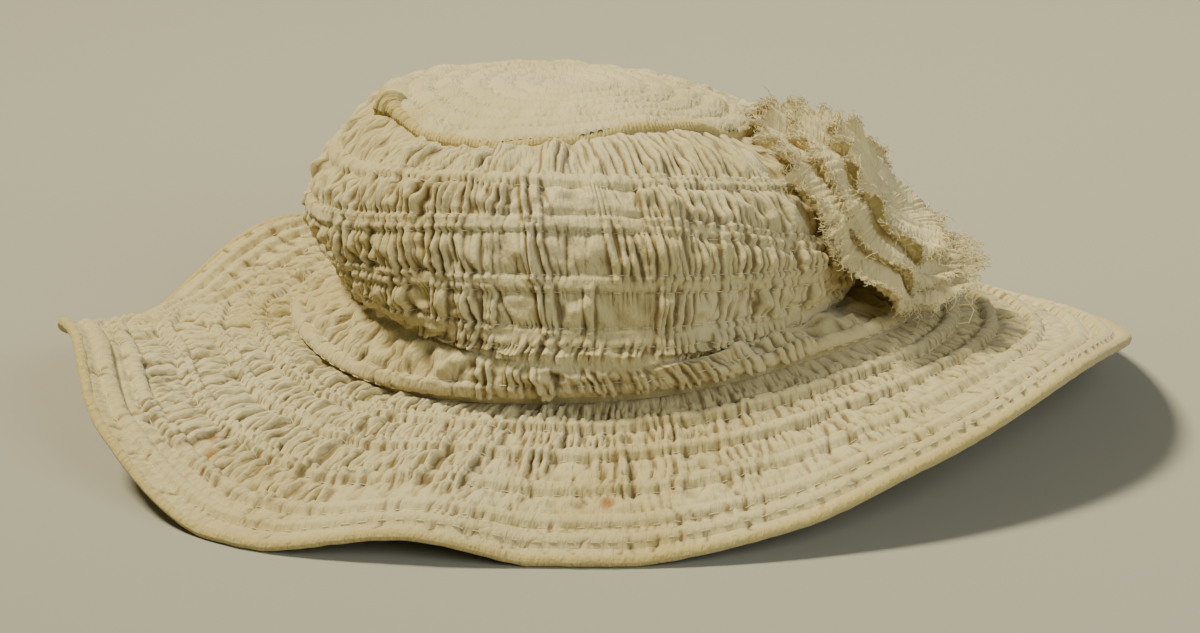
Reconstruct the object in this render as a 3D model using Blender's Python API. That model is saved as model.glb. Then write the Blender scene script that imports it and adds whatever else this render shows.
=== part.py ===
"""A corded and gathered cotton sun hat, resting on its brim. Blender 4.5, metres, +Z up.

The long axis is X with the rosette at +X, and the hat's near side is -Y. The origin is on the surface
that the hat rests on, under the middle of the brim. Angles run anticlockwise seen from above, with
0 at +X, 90 at the far side, 180 at the left and 270 at the near side.

The crown's side is one gathered cloth drawn up on cords, which show as ribs. It hangs over its own
lowest tier, which tucks in and spreads again to the seam at the head. The brim is a second cloth on
rows of cord, bound along its edge. The tip is an oval set in behind a covered cord, and three frills
of thin cotton, one on the other, make the rosette on the crown's end.
"""

import math
from collections import namedtuple

import bmesh
import bpy
import numpy as np
from mathutils import Vector

# Overall sizes of the brim, measured over its bound edge.
BRIM_LENGTH = 0.341
BRIM_WIDTH = 0.300
EDGE_LIFT = 0.032

# The head seam, where the crown stands on the brim.
HEAD_LENGTH = 0.197
HEAD_WIDTH = 0.170
SEAM_HEIGHT = 0.028

# The crown over the head seam, and the oval tip that closes it.
CROWN_HEIGHT = 0.067
TIP_LENGTH = 0.116
TIP_WIDTH = 0.104
TIP_RISE = 0.010
TIP_LONG = TIP_LENGTH / HEAD_LENGTH
TIP_WIDE = TIP_WIDTH / HEAD_WIDTH

# Cloth, cords and the gap that parts keep.
BRIM_WALL = 0.0022
CROWN_WALL = 0.0018
TIP_WALL = 0.0020
FRILL_WALL = 0.0010
CORD_RISE = 0.0018
CORD_FOOT = 0.0030
BINDING_DIAMETER = 0.0042
PIPING_DIAMETER = 0.0046
SEAM_GAP = 0.0003

# The rosette of frills on the crown's end: its middle, the slope of its axis over the surface, how
# far it turns to the near side, how much shorter it is towards the brim, how its sides droop round
# the crown, how its lower part turns out along the brim, and how its upper part tucks in over the tip.
ROSETTE_DIAMETER = 0.096
ROSETTE_X = 0.0855
ROSETTE_Y = -0.0160
ROSETTE_Z = 0.0623
ROSETTE_SLOPE = 40
ROSETTE_TURN = -6
ROSETTE_SQUEEZE = 0.27
ROSETTE_DROOP = 0.0110
ROSETTE_BEND_START = 0.0230
ROSETTE_BEND = 0.90
ROSETTE_TUCK_START = 0.0220
ROSETTE_TUCK = 0.45
FRILL_RUFFLE = 0.0044
FRILL_GAP = 0.0005

# How finely each part is cut around its ring.
BRIM_STEPS = 72
CROWN_STEPS = 66
TIP_STEPS = 36
FRILL_STEPS = 40
TUBE_SIDES = 6

# Rings of the crown's side from the head seam up. Centres and sizes are shares of the head opening,
# and the heights at the four sides are shares of the crown's height over the seam.
Ring = namedtuple("Ring", "name centre_x centre_y length width left near right far corded")
CROWN_RINGS = (
    Ring("head_seam", 0.040, -0.012, 1.000, 1.000, -0.01, -0.02, 0.060, 0.00, False),
    Ring("hem_cord", 0.035, -0.022, 0.985, 1.022, 0.035, 0.045, 0.11, 0.045, True),
    Ring("tuck", 0.000, 0.000, 0.790, 0.965, 0.16, 0.14, 0.16, 0.17, False),
    Ring("cord_4", 0.009, -0.024, 0.824, 1.035, 0.27, 0.25, 0.26, 0.33, True),
    Ring("cord_3", 0.001, -0.012, 0.872, 1.024, 0.38, 0.52, 0.35, 0.51, True),
    Ring("cord_2", -0.026, 0.000, 0.878, 0.965, 0.55, 0.78, 0.47, 0.71, True),
    Ring("cord_1", -0.052, 0.012, 0.773, 0.847, 0.78, 0.93, 0.69, 0.86, True),
    Ring("tip_seam", -0.086, 0.030, TIP_LONG, TIP_WIDE, 1.05, 1.02, 0.88, 0.94, False),
)

# Gathers of each tier, named for the ring under it: how many folds go round, how deep they are as a
# share of the cord's rise, how far the cloth puffs out between its cords, and how the folds drift.
Tier = namedtuple("Tier", "ring folds depth puff phase")
CROWN_TIERS = (
    Tier("head_seam", 31, 0.20, 0.0, 0.4),
    Tier("hem_cord", 31, 0.55, 0.2, 0.4),
    Tier("tuck", 31, 0.45, 0.2, 0.9),
    Tier("cord_4", 34, 0.70, 0.7, 1.7),
    Tier("cord_3", 29, 0.85, 0.9, 2.9),
    Tier("cord_2", 33, 0.75, 0.8, 4.1),
    Tier("cord_1", 35, 0.80, 0.5, 5.3),
)

# Waves of the two upper rings, where the tip has sagged: rise as a share of the crown's height.
Wave = namedtuple("Wave", "name ring angle rise spread")
RING_WAVES = (
    Wave("seam_near_left_dip", "head_seam", 225, -0.060, 30),
    Wave("seam_near_right_lift", "head_seam", 310, 0.060, 25),
    Wave("hem_near_left_dip", "hem_cord", 225, -0.060, 30),
    Wave("hem_near_right_lift", "hem_cord", 310, 0.060, 25),
    Wave("tip_near_left_sag", "tip_seam", 230, -0.085, 28),
    Wave("tip_near_right_lift", "tip_seam", 300, 0.085, 26),
    Wave("cord_near_right_dip", "cord_2", 322, -0.045, 20),
)

# Where a ring bulges out over the seam on the near side, as a share of the ring's own size.
Bulge = namedtuple("Bulge", "name ring angle reach spread")
RING_BULGES = (
    Bulge("hem_near_bulge", "hem_cord", 280, 0.025, 45),
    Bulge("tuck_near_bulge", "tuck", 280, 0.105, 40),
)
BULGE_POWER = 4

# Turning points of the brim's edge: lift as a share of the largest lift, with the rests pressed flat
# on the surface, and reach as a share of the brim's plan oval.
Turn = namedtuple("Turn", "name angle lift reach")
EDGE_TURNS = (
    Turn("right_slope", 5, 0.42, 1.000),
    Turn("far_right_rest", 41, -0.04, 1.000),
    Turn("far_swell", 70, 0.20, 1.000),
    Turn("far_rest", 98, -0.04, 1.000),
    Turn("far_left_crest", 131, 0.58, 1.000),
    Turn("far_left_rest", 155, -0.04, 1.000),
    Turn("left_slope", 178, 0.50, 1.000),
    Turn("left_crest", 199, 1.06, 1.000),
    Turn("left_fall", 215, 0.55, 1.054),
    Turn("near_left_rest", 235, -0.03, 1.085),
    Turn("near_crest", 252, 0.21, 1.030),
    Turn("near_rest", 267, -0.04, 1.000),
    Turn("near_right_slope", 290, 0.24, 1.000),
    Turn("near_right_rise", 304, 0.60, 1.000),
    Turn("right_crest", 330, 1.00, 1.000),
)

# Cords of the brim as shares of the way from the head seam to the binding, and how deep the gathers
# are in the tier inside each cord, as a share of the cord's rise.
Cord = namedtuple("Cord", "name place rise folds depth phase")
BRIM_CORDS = (
    Cord("inner", 0.165, 1.00, 41, 0.75, 0.3),
    Cord("second", 0.350, 0.90, 38, 0.60, 1.4),
    Cord("third", 0.570, 0.75, 35, 0.45, 2.2),
    Cord("fourth", 0.780, 0.75, 33, 0.20, 3.6),
    Cord("outer", 0.900, 0.70, 40, 0.10, 5.1),
)
EDGE_WAVE_POWER = 1.6
UNDER_ROWS = (0.80, 0.55, 0.28)

# Quilted rows of the tip as shares of the way from its middle to its edge.
Row = namedtuple("Row", "name place rise")
TIP_ROWS = (
    Row("edge_hollow", 0.93, -0.15),
    Row("outer_cord", 0.82, 0.45),
    Row("outer_hollow", 0.71, -0.05),
    Row("middle_cord", 0.60, 0.40),
    Row("middle_hollow", 0.48, -0.05),
    Row("inner_cord", 0.36, 0.35),
    Row("inner_hollow", 0.18, 0.00),
)
DOME_POWER = 2.4

# Frills from the crown outwards: how many of the frill rows each one reaches over, and the lift of its
# rim as a share of the rosette's radius. Rows are shares of that radius, from the middle out.
Frill = namedtuple("Frill", "name rows rim")
FRILLS = (
    Frill("rosette_frill_outer", 4, 0.00),
    Frill("rosette_frill_middle", 3, 0.06),
    Frill("rosette_frill_inner", 2, 0.24),
)
FRILL_ROWS = (0.30, 0.62, 0.83, 1.00)
FRILL_RUFFLES = 10
FRILL_LOBES = 3
FRILL_LOBE = 0.05


def angles(steps):
    """The angles of a ring cut into equal steps, from +X round."""
    return np.arange(steps) * 2 * math.pi / steps


def polar(vectors, length):
    """Each row of vectors at the given length."""
    return vectors * (length / np.linalg.norm(vectors, axis=-1, keepdims=True))


def edge_turn(theta, column):
    """The lift or reach of the brim's edge, on a smooth curve that only turns at its turning points."""
    degrees = np.degrees(theta) % 360
    places = np.array([turn.angle for turn in EDGE_TURNS])
    values = np.array([getattr(turn, column) for turn in EDGE_TURNS])
    gap = np.diff(places, append=places[0] + 360)
    after = np.diff(values, append=values[0]) / gap
    before = np.roll(after, 1)
    turning = before * after <= 0
    slope = np.where(turning, 0, 2 * before * after / np.where(turning, 1, before + after))
    start = np.searchsorted(places, degrees, side="right") - 1
    end = (start + 1) % len(places)
    share = ((degrees - places[start]) % 360) / gap[start]
    rest = 1 - share
    level = values[start] * (1 + 2 * share) * rest**2 + values[end] * (1 + 2 * rest) * share**2
    return level + gap[start] * share * rest * (slope[start] * rest - slope[end] * share)


def binding_line(theta):
    """The middle line of the binding, whose rests lie flat on the surface."""
    radius = BINDING_DIAMETER / 2
    reach = edge_turn(theta, "reach")
    lift = np.maximum(edge_turn(theta, "lift"), 0) * EDGE_LIFT
    across = (BRIM_LENGTH / 2 - radius) * reach * np.cos(theta)
    along = (BRIM_WIDTH / 2 - radius) * reach * np.sin(theta)
    return np.stack([across, along, radius * math.cos(math.pi / TUBE_SIDES) + lift], -1)


def degrees_off(theta, local):
    """How far an angle is from a local wave or bulge, as a share of its spread."""
    return ((np.degrees(theta) - local.angle + 180) % 360 - 180) / local.spread


def ring_line(ring, theta):
    """A ring of the crown, as an oval whose height follows its four sides and its waves."""
    mean = (ring.left + ring.near + ring.right + ring.far) / 4
    arch = (ring.left + ring.right - ring.near - ring.far) / 4
    height = mean + (ring.right - ring.left) / 2 * np.cos(theta) + (ring.far - ring.near) / 2 * np.sin(theta)
    height = height + arch * np.cos(2 * theta)
    for wave in RING_WAVES:
        if wave.ring == ring.name:
            height = height + wave.rise * np.exp(-(degrees_off(theta, wave) ** 2))
    size = 1
    for bulge in RING_BULGES:
        if bulge.ring == ring.name:
            size = size + bulge.reach * np.exp(-(degrees_off(theta, bulge) ** BULGE_POWER))
    return np.stack(
        [
            (ring.centre_x + ring.length * size * np.cos(theta)) * HEAD_LENGTH / 2,
            (ring.centre_y + ring.width * size * np.sin(theta)) * HEAD_WIDTH / 2,
            SEAM_HEIGHT + CROWN_HEIGHT * height,
        ],
        -1,
    )


def crown_line(theta, place):
    """The crown's cloth at a place between rings, on a smooth curve through all the rings."""
    rings = [ring_line(ring, theta) for ring in CROWN_RINGS]
    rings = [2 * rings[0] - rings[1], *rings, 2 * rings[-1] - rings[-2]]
    index = min(int(place), len(CROWN_RINGS) - 2)
    share = place - index
    before, start, end, after = rings[index : index + 4]
    return 0.5 * (
        2 * start
        + (end - before) * share
        + (2 * before - 5 * start + 4 * end - after) * share**2
        + (3 * start - before - 3 * end + after) * share**3
    )


def crown_normal(theta, place):
    """The way out of the crown's cloth."""
    small = 0.01
    upward = crown_line(theta, place + small) - crown_line(theta, place - small)
    around = crown_line(theta + small, place) - crown_line(theta - small, place)
    return polar(np.cross(around, upward), 1)


def crown_fold(theta, place):
    """How far the gathers and puffs stand out at a place between rings."""
    index = min(int(place), len(CROWN_TIERS) - 1)
    tier = CROWN_TIERS[index]
    share = place - index
    between = 4 * share * (1 - share)
    gather = np.cos(tier.folds * theta + tier.phase) * (0.6 + 0.4 * np.cos(3 * theta + tier.phase))
    return CORD_RISE * between * (tier.puff + tier.depth * gather)


def flat_out(theta, line):
    """The level direction out of an oval line."""
    small = 0.01
    around = line(theta + small) - line(theta - small)
    around[:, 2] = 0
    return polar(np.cross(around, [0, 0, 1]), 1)


def new_object(name, mesh, material, parent):
    """A named object in the scene, under its parent."""
    part = bpy.data.objects.new(name, mesh)
    mesh.materials.append(material)
    mesh.shade_smooth()
    mesh.set_sharp_from_angle(angle=math.radians(50))
    bpy.context.scene.collection.objects.link(part)
    part.parent = parent
    return part


def skinned(name, loops, middles=None, closed_tube=False):
    """A closed mesh skinned over loops of points. The first and last loops are joined in a tube,
    and otherwise meet or are closed on a middle point each."""
    form = bmesh.new()
    rows = [[form.verts.new(point) for point in loop] for loop in loops]
    pairs = list(zip(rows, rows[1:]))
    if closed_tube:
        pairs.append((rows[-1], rows[0]))
    for low, high in pairs:
        for i in range(len(low)):
            j = (i + 1) % len(low)
            form.faces.new((low[i], low[j], high[j], high[i]))
    if middles:
        for row, middle in ((rows[0], middles[0]), (rows[-1], middles[1])):
            centre = form.verts.new(middle)
            for i in range(len(row)):
                form.faces.new((row[i], row[(i + 1) % len(row)], centre))
    bmesh.ops.recalc_face_normals(form, faces=form.faces)
    mesh = bpy.data.meshes.new(name)
    form.to_mesh(mesh)
    form.free()
    return mesh


def tube_loops(line, theta, radius, sides):
    """Loops of a tube along an oval line, flat on its underside."""
    centre = line(theta)
    out = flat_out(theta, line)
    up = np.array([0, 0, 1])
    loops = []
    for side in range(sides):
        turn = 2 * math.pi * side / sides
        loops.append(centre + radius * (math.cos(turn) * out + math.sin(turn) * up))
    return loops


def brim_point(theta, share):
    """The brim's upper face without its ribs, from the head seam at 0 to the binding's line at 1."""
    seam = ring_line(CROWN_RINGS[0], theta)
    edge = binding_line(theta)
    point = seam + (edge - seam) * share
    seam_top = seam[:, 2] - SEAM_GAP
    edge_top = edge[:, 2] + BRIM_WALL / 2
    rest_top = BINDING_DIAMETER / 2 * math.cos(math.pi / TUBE_SIDES) + BRIM_WALL / 2
    lifted = (edge_top - rest_top) * share**EDGE_WAVE_POWER
    point[:, 2] = seam_top + (rest_top - seam_top) * share + lifted
    return point


def make_brim(material, parent):
    """The brim's cloth: ribs over its cords and gathers between them on top, plain under it."""
    theta = angles(BRIM_STEPS)
    seam = ring_line(CROWN_RINGS[0], theta)
    out = flat_out(theta, lambda t: ring_line(CROWN_RINGS[0], t))
    width = np.linalg.norm((binding_line(theta) - seam)[:, :2], axis=1)
    end = (1 - (BINDING_DIAMETER / 2 + SEAM_GAP) / width)[:, None]
    foot = CORD_FOOT / np.mean(width)

    def top(share, rise):
        point = brim_point(theta, share)
        point[:, 2] += rise
        return point

    margin = seam - CROWN_WALL * out
    margin[:, 2] = seam[:, 2] - SEAM_GAP
    shoulder = seam + CORD_RISE * out
    shoulder[:, 2] = seam[:, 2] - SEAM_GAP
    upper = [margin, shoulder]
    last = 0.0
    for cord in BRIM_CORDS:
        gather = np.cos(cord.folds * theta + cord.phase) * (0.6 + 0.4 * np.cos(4 * theta + cord.phase))
        depth = CORD_RISE * cord.depth
        upper.append(top((last + cord.place) / 2, depth * (gather - 0.5)))
        upper.append(top(cord.place, CORD_RISE * cord.rise))
        upper.append(top(cord.place + foot, depth / 2 * (gather - 1)))
        last = cord.place + foot
    rim = seam + (binding_line(theta) - seam) * end
    rim[:, 2] = brim_point(theta, 1)[:, 2] + (brim_point(theta, 1 - foot) - brim_point(theta, 1))[:, 2] * (
        (1 - end[:, 0]) / foot
    )
    upper.append(rim)

    under = []
    for share in UNDER_ROWS:
        point = brim_point(theta, share)
        point[:, 2] = np.maximum(point[:, 2] - BRIM_WALL, 0)
        under.append(point)
    under_rim = rim.copy()
    under_rim[:, 2] -= BRIM_WALL
    under_shoulder = shoulder.copy()
    under_shoulder[:, 2] -= BRIM_WALL
    under_margin = margin.copy()
    under_margin[:, 2] -= BRIM_WALL
    loops = [*upper, under_rim, *under, under_shoulder, under_margin]
    return new_object("brim", skinned("brim", loops, closed_tube=True), material, parent)


def make_binding(material, parent):
    """The corded binding round the brim's edge, flat where it rests."""
    theta = angles(BRIM_STEPS)
    loops = tube_loops(binding_line, theta, BINDING_DIAMETER / 2, TUBE_SIDES)
    return new_object("brim_binding", skinned("brim_binding", loops, closed_tube=True), material, parent)


def make_crown_side(material, parent):
    """The gathered side of the crown, ribbed over its cords outside and plain inside."""
    theta = angles(CROWN_STEPS)
    last = len(CROWN_RINGS) - 1
    seam_line = ring_line(CROWN_RINGS[0], theta)
    seam_out = flat_out(theta, lambda t: ring_line(CROWN_RINGS[0], t))
    top = crown_line(theta, last)
    upward = polar(top - crown_line(theta, last - 0.1), 1)
    top = top - upward * (PIPING_DIAMETER / 2 + SEAM_GAP)
    top_normal = crown_normal(theta, last - 0.05)

    def cloth(place, stand):
        stand = np.broadcast_to(stand, theta.shape)
        return crown_line(theta, place) + crown_normal(theta, place) * stand[:, None]

    outside = [seam_line + CORD_RISE * seam_out]
    inside = [seam_line - CROWN_WALL * seam_out]
    outside.append(cloth(0.5, 0))
    for index, ring in enumerate(CROWN_RINGS[1:-1], 1):
        length = np.mean(np.linalg.norm(crown_line(theta, index + 1) - crown_line(theta, index), axis=1))
        foot = CORD_FOOT / length
        if ring.corded:
            if index > 1:
                outside.append(cloth(index - foot, crown_fold(theta, index - foot) * 0.5))
            outside.append(cloth(index, CORD_RISE))
            outside.append(cloth(index + foot, crown_fold(theta, index + foot) * 0.5))
            inside.append(cloth(index + foot, -CROWN_WALL))
        outside.append(cloth(index + 0.5, crown_fold(theta, index + 0.5)))
        if not ring.corded:
            inside.append(cloth(index, -CROWN_WALL))
    outside.append(top + top_normal * CROWN_WALL / 2)
    inside.append(top - top_normal * CROWN_WALL / 2)
    loops = [*outside, *reversed(inside)]
    return new_object("crown_side", skinned("crown_side", loops, closed_tube=True), material, parent)


def tip_seam_line(theta):
    """The line of the covered cord round the tip."""
    return ring_line(CROWN_RINGS[-1], theta)


def make_piping(material, parent):
    """The covered cord round the tip."""
    loops = tube_loops(tip_seam_line, angles(CROWN_STEPS), PIPING_DIAMETER / 2, TUBE_SIDES)
    return new_object("tip_piping", skinned("tip_piping", loops, closed_tube=True), material, parent)


def make_tip(material, parent):
    """The oval tip, domed inside its piping, with low quilted rows."""
    theta = angles(TIP_STEPS)
    seam = tip_seam_line(theta)
    edge = seam - flat_out(theta, tip_seam_line) * (PIPING_DIAMETER / 2 + SEAM_GAP)
    middle = seam.mean(axis=0)

    def dome(share, rise):
        point = middle + (edge - middle) * share
        level = edge[:, 2] * share**2 + middle[2] * (1 - share**2)
        point[:, 2] = level + TIP_RISE * (1 - share**DOME_POWER) + rise
        return point

    half = TIP_WALL / 2
    upper = [dome(1, half)]
    upper += [dome(row.place, half + row.rise * CORD_RISE) for row in TIP_ROWS]
    lower = [dome(share, -half) for share in (1, 0.75, 0.45)]
    top = Vector((middle[0], middle[1], middle[2] + TIP_RISE))
    thick = Vector((0, 0, half))
    mesh = skinned("crown_tip", [*reversed(upper), *lower], middles=(top + thick, top - thick))
    return new_object("crown_tip", mesh, material, parent)


def frill_loops(frill, base):
    """Loops of a frill about local Z, from its middle out on top and back underneath. Local X runs
    down the slope, and every frill bends in the same way, so that they nest."""
    theta = angles(FRILL_STEPS)
    half = ROSETTE_DIAMETER / 2
    ruffle = FRILL_RUFFLE / 2 * (1 + np.cos(FRILL_RUFFLES * theta))
    lobe = 1 - FRILL_LOBE * (1 + np.cos(FRILL_LOBES * theta)) / 2
    outline = lobe * (1 - ROSETTE_SQUEEZE * np.maximum(np.cos(theta), 0) ** 2)

    def disc(share, height):
        down = half * share * outline * np.cos(theta)
        side = half * share * outline * np.sin(theta)
        bend = ROSETTE_BEND * np.maximum(down - ROSETTE_BEND_START, 0)
        droop = ROSETTE_DROOP * (side / half) ** 2 + ROSETTE_TUCK * np.maximum(-down - ROSETTE_TUCK_START, 0)
        rise = (ruffle + half * frill.rim) * share**2
        return np.stack([down, side, base + bend - droop + rise + height], -1)

    rows = FRILL_ROWS[: frill.rows]
    upper = [disc(share, FRILL_WALL) for share in rows]
    lower = [disc(share, 0) for share in reversed(rows)]
    return [*upper, *lower], (Vector((0, 0, base + FRILL_WALL)), Vector((0, 0, base)))


def make_rosette(material, parent):
    """Three frills on the crown's end, each a gap above the one before, about one axis."""
    hub = bpy.data.objects.new("rosette", None)
    bpy.context.scene.collection.objects.link(hub)
    hub.parent = parent
    hub.location = (ROSETTE_X, ROSETTE_Y, ROSETTE_Z)
    hub.rotation_euler = (0, math.radians(90 - ROSETTE_SLOPE), math.radians(ROSETTE_TURN))
    for index, frill in enumerate(FRILLS):
        loops, middles = frill_loops(frill, index * (FRILL_WALL + FRILL_GAP))
        new_object(frill.name, skinned(frill.name, loops, middles=middles), material, hub)


def cotton(name, colour, roughness):
    """A plain cotton material."""
    material = bpy.data.materials.new(name)
    material.use_nodes = True
    shader = material.node_tree.nodes["Principled BSDF"]
    shader.inputs["Base Color"].default_value = (*colour, 1)
    shader.inputs["Roughness"].default_value = roughness
    shader.inputs["Metallic"].default_value = 0
    return material


def main():
    """Builds the hat under one empty."""
    for old in list(bpy.data.objects):
        bpy.data.objects.remove(old, do_unlink=True)
    hat = bpy.data.objects.new("sun_hat", None)
    bpy.context.scene.collection.objects.link(hat)
    cream = cotton("cream_cotton", (0.62, 0.56, 0.40), 0.9)
    aged = cotton("aged_cotton", (0.58, 0.48, 0.29), 0.9)
    muslin = cotton("muslin", (0.60, 0.52, 0.34), 0.95)
    make_brim(cream, hat)
    make_binding(aged, hat)
    make_crown_side(cream, hat)
    make_tip(cream, hat)
    make_piping(aged, hat)
    make_rosette(muslin, hat)


main()
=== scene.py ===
"""A corded and gathered cotton sun hat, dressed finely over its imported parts.

The frame is in metres with +Z up. The rosette is at +X, the near side of the hat is -Y, and angles run
anticlockwise seen from above from +X. Each class builds and dresses one sub-assembly.
"""

import logging
import math
from dataclasses import dataclass, field
from enum import Enum

import bpy
import numpy as np
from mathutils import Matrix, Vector

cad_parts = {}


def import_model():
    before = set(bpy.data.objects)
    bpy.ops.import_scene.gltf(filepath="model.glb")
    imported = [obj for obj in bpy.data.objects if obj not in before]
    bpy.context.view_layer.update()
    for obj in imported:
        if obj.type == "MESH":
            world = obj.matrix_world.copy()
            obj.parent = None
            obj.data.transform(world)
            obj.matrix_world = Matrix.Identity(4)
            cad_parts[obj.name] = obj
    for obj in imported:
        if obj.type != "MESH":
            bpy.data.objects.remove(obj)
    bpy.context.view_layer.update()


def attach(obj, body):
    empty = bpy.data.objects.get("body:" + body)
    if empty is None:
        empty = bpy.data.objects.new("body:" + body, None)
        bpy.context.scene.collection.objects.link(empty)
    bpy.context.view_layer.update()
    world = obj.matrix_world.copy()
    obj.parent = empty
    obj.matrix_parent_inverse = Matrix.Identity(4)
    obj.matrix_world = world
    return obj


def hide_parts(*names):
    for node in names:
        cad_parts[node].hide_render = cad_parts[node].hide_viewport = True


LOG = logging.getLogger("sun_hat")
TURN = 2 * math.pi


class Slot(Enum):
    """The material slots of the record."""

    CREAM = "cream_cotton"
    AGED = "aged_cotton"
    MUSLIN = "muslin"


class Facing(Enum):
    """Which way a cloth's outer face looks, as the sign of around x across."""

    OUTWARD = 1
    UPWARD = -1


class Hold(Enum):
    """How a sheet of cloth is held."""

    GATHERED = "gathered"
    STRETCHED = "stretched"


@dataclass(frozen=True)
class HatSizes:
    """The real sizes that the parts share, in metres."""

    brim_length: float = 0.341
    brim_width: float = 0.300
    edge_lift: float = 0.032
    head_length: float = 0.197
    head_width: float = 0.170
    seam_height: float = 0.028
    crown_height: float = 0.067
    tip_rise: float = 0.010
    cord_rise: float = 0.0018
    cord_half_width: float = 0.0024
    crown_wall: float = 0.0018
    brim_wall: float = 0.0022
    binding_radius: float = 0.0021
    piping_radius: float = 0.0023
    gap: float = 0.0003


@dataclass(frozen=True)
class Ring:
    """A ring of the crown: centre and size as shares of the head opening, heights of its four sides as
    shares of the crown's height, and whether a cord runs in it."""

    name: str
    centre_x: float
    centre_y: float
    length: float
    width: float
    left: float
    near: float
    right: float
    far: float
    corded: bool


@dataclass(frozen=True)
class Wave:
    """A local rise of one ring, as a share of the crown's height, or a local bulge, as a share of the
    ring's size, spread over some degrees."""

    ring: str
    angle: float
    rise: float
    spread: float

    def at(self, theta: np.ndarray, power: int) -> np.ndarray:
        """Gives the rise.

        Args:
            theta: Angles to give it at.
            power: 2 for a round top, and more for a flatter one.

        Returns:
            The rise at each angle.
        """
        away = ((np.degrees(theta) - self.angle + 180) % 360 - 180) / self.spread
        return self.rise * np.exp(-(np.abs(away) ** power))


@dataclass(frozen=True)
class Turn:
    """A turning point of the brim's edge: its lift as a share of the largest, and its reach."""

    name: str
    angle: float
    lift: float
    reach: float


@dataclass(frozen=True)
class Tier:
    """The cloth over one ring or cord: how it puffs, how strongly it is gathered, and its rows."""

    puff: float
    crumple: float
    pucker: float
    rows: int


@dataclass(frozen=True)
class FoldRun:
    """A group of folds side by side that runs over several tiers at one angle."""

    angle: float
    first: float
    last: float
    folds: int
    depth: float
    slant: float = 0.0


@dataclass(frozen=True)
class Stain:
    """A rust spot: where it is in the frame, and its radius."""

    x: float
    y: float
    z: float
    radius: float


CROWN_RINGS = (
    Ring("head_seam", 0.040, -0.012, 1.000, 1.000, -0.01, -0.02, 0.060, 0.00, False),
    Ring("hem_cord", 0.035, -0.022, 0.985, 1.022, 0.035, 0.070, 0.11, 0.045, True),
    Ring("tuck", 0.000, 0.000, 0.790, 0.965, 0.16, 0.185, 0.16, 0.17, False),
    Ring("cord_4", 0.009, -0.024, 0.824, 1.035, 0.27, 0.31, 0.26, 0.33, True),
    Ring("cord_3", 0.001, -0.012, 0.872, 1.024, 0.38, 0.54, 0.35, 0.51, True),
    Ring("cord_2", -0.026, 0.000, 0.878, 0.965, 0.55, 0.78, 0.47, 0.71, True),
    Ring("cord_1", -0.052, 0.012, 0.773, 0.847, 0.78, 0.93, 0.69, 0.86, True),
    Ring("tip_seam", -0.084, 0.030, 0.580, 0.612, 1.02, 1.02, 0.87, 0.91, False),
)
RING_WAVES = (
    Wave("head_seam", 225, -0.060, 30),
    Wave("head_seam", 310, 0.060, 25),
    Wave("hem_cord", 225, -0.060, 30),
    Wave("hem_cord", 310, 0.060, 25),
    Wave("tip_seam", 230, -0.085, 28),
    Wave("tip_seam", 300, 0.085, 26),
    Wave("cord_2", 322, -0.045, 20),
)
RING_BULGES = (
    Wave("hem_cord", 280, 0.025, 45),
    Wave("tuck", 280, 0.105, 40),
)
EDGE_TURNS = (
    Turn("right_slope", 5, 0.42, 1.000),
    Turn("far_right_rest", 41, -0.04, 1.000),
    Turn("far_swell", 70, 0.20, 1.000),
    Turn("far_rest", 98, -0.04, 1.000),
    Turn("far_left_crest", 131, 0.58, 1.000),
    Turn("far_left_rest", 155, -0.04, 1.000),
    Turn("left_slope", 178, 0.50, 1.000),
    Turn("left_crest", 199, 1.06, 1.000),
    Turn("left_fall", 215, 0.55, 1.054),
    Turn("near_left_rest", 235, -0.03, 1.085),
    Turn("near_crest", 252, 0.21, 1.030),
    Turn("near_rest", 267, -0.04, 1.000),
    Turn("near_right_slope", 290, 0.24, 1.000),
    Turn("near_right_rise", 304, 0.60, 1.000),
    Turn("right_crest", 330, 1.00, 1.000),
)
CROWN_TIERS = (
    Tier(0.0, 0.0, 0.0, 2),
    Tier(0.9, 1.4, 1.0, 8),
    Tier(0.9, 1.2, 1.0, 8),
    Tier(0.7, 0.8, 0.8, 7),
    Tier(0.9, 0.9, 0.9, 7),
    Tier(0.8, 0.9, 0.9, 9),
    Tier(0.5, 0.8, 1.0, 9),
)
BRIM_CORDS = (0.165, 0.350, 0.570, 0.780, 0.900)
BRIM_TIERS = (
    Tier(0.1, 0.6, 1.0, 4),
    Tier(0.2, 0.7, 1.0, 4),
    Tier(0.2, 0.7, 0.9, 6),
    Tier(0.1, 0.5, 0.5, 8),
    Tier(0.0, 0.3, 0.5, 2),
    Tier(0.0, 0.2, 0.3, 2),
)
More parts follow.
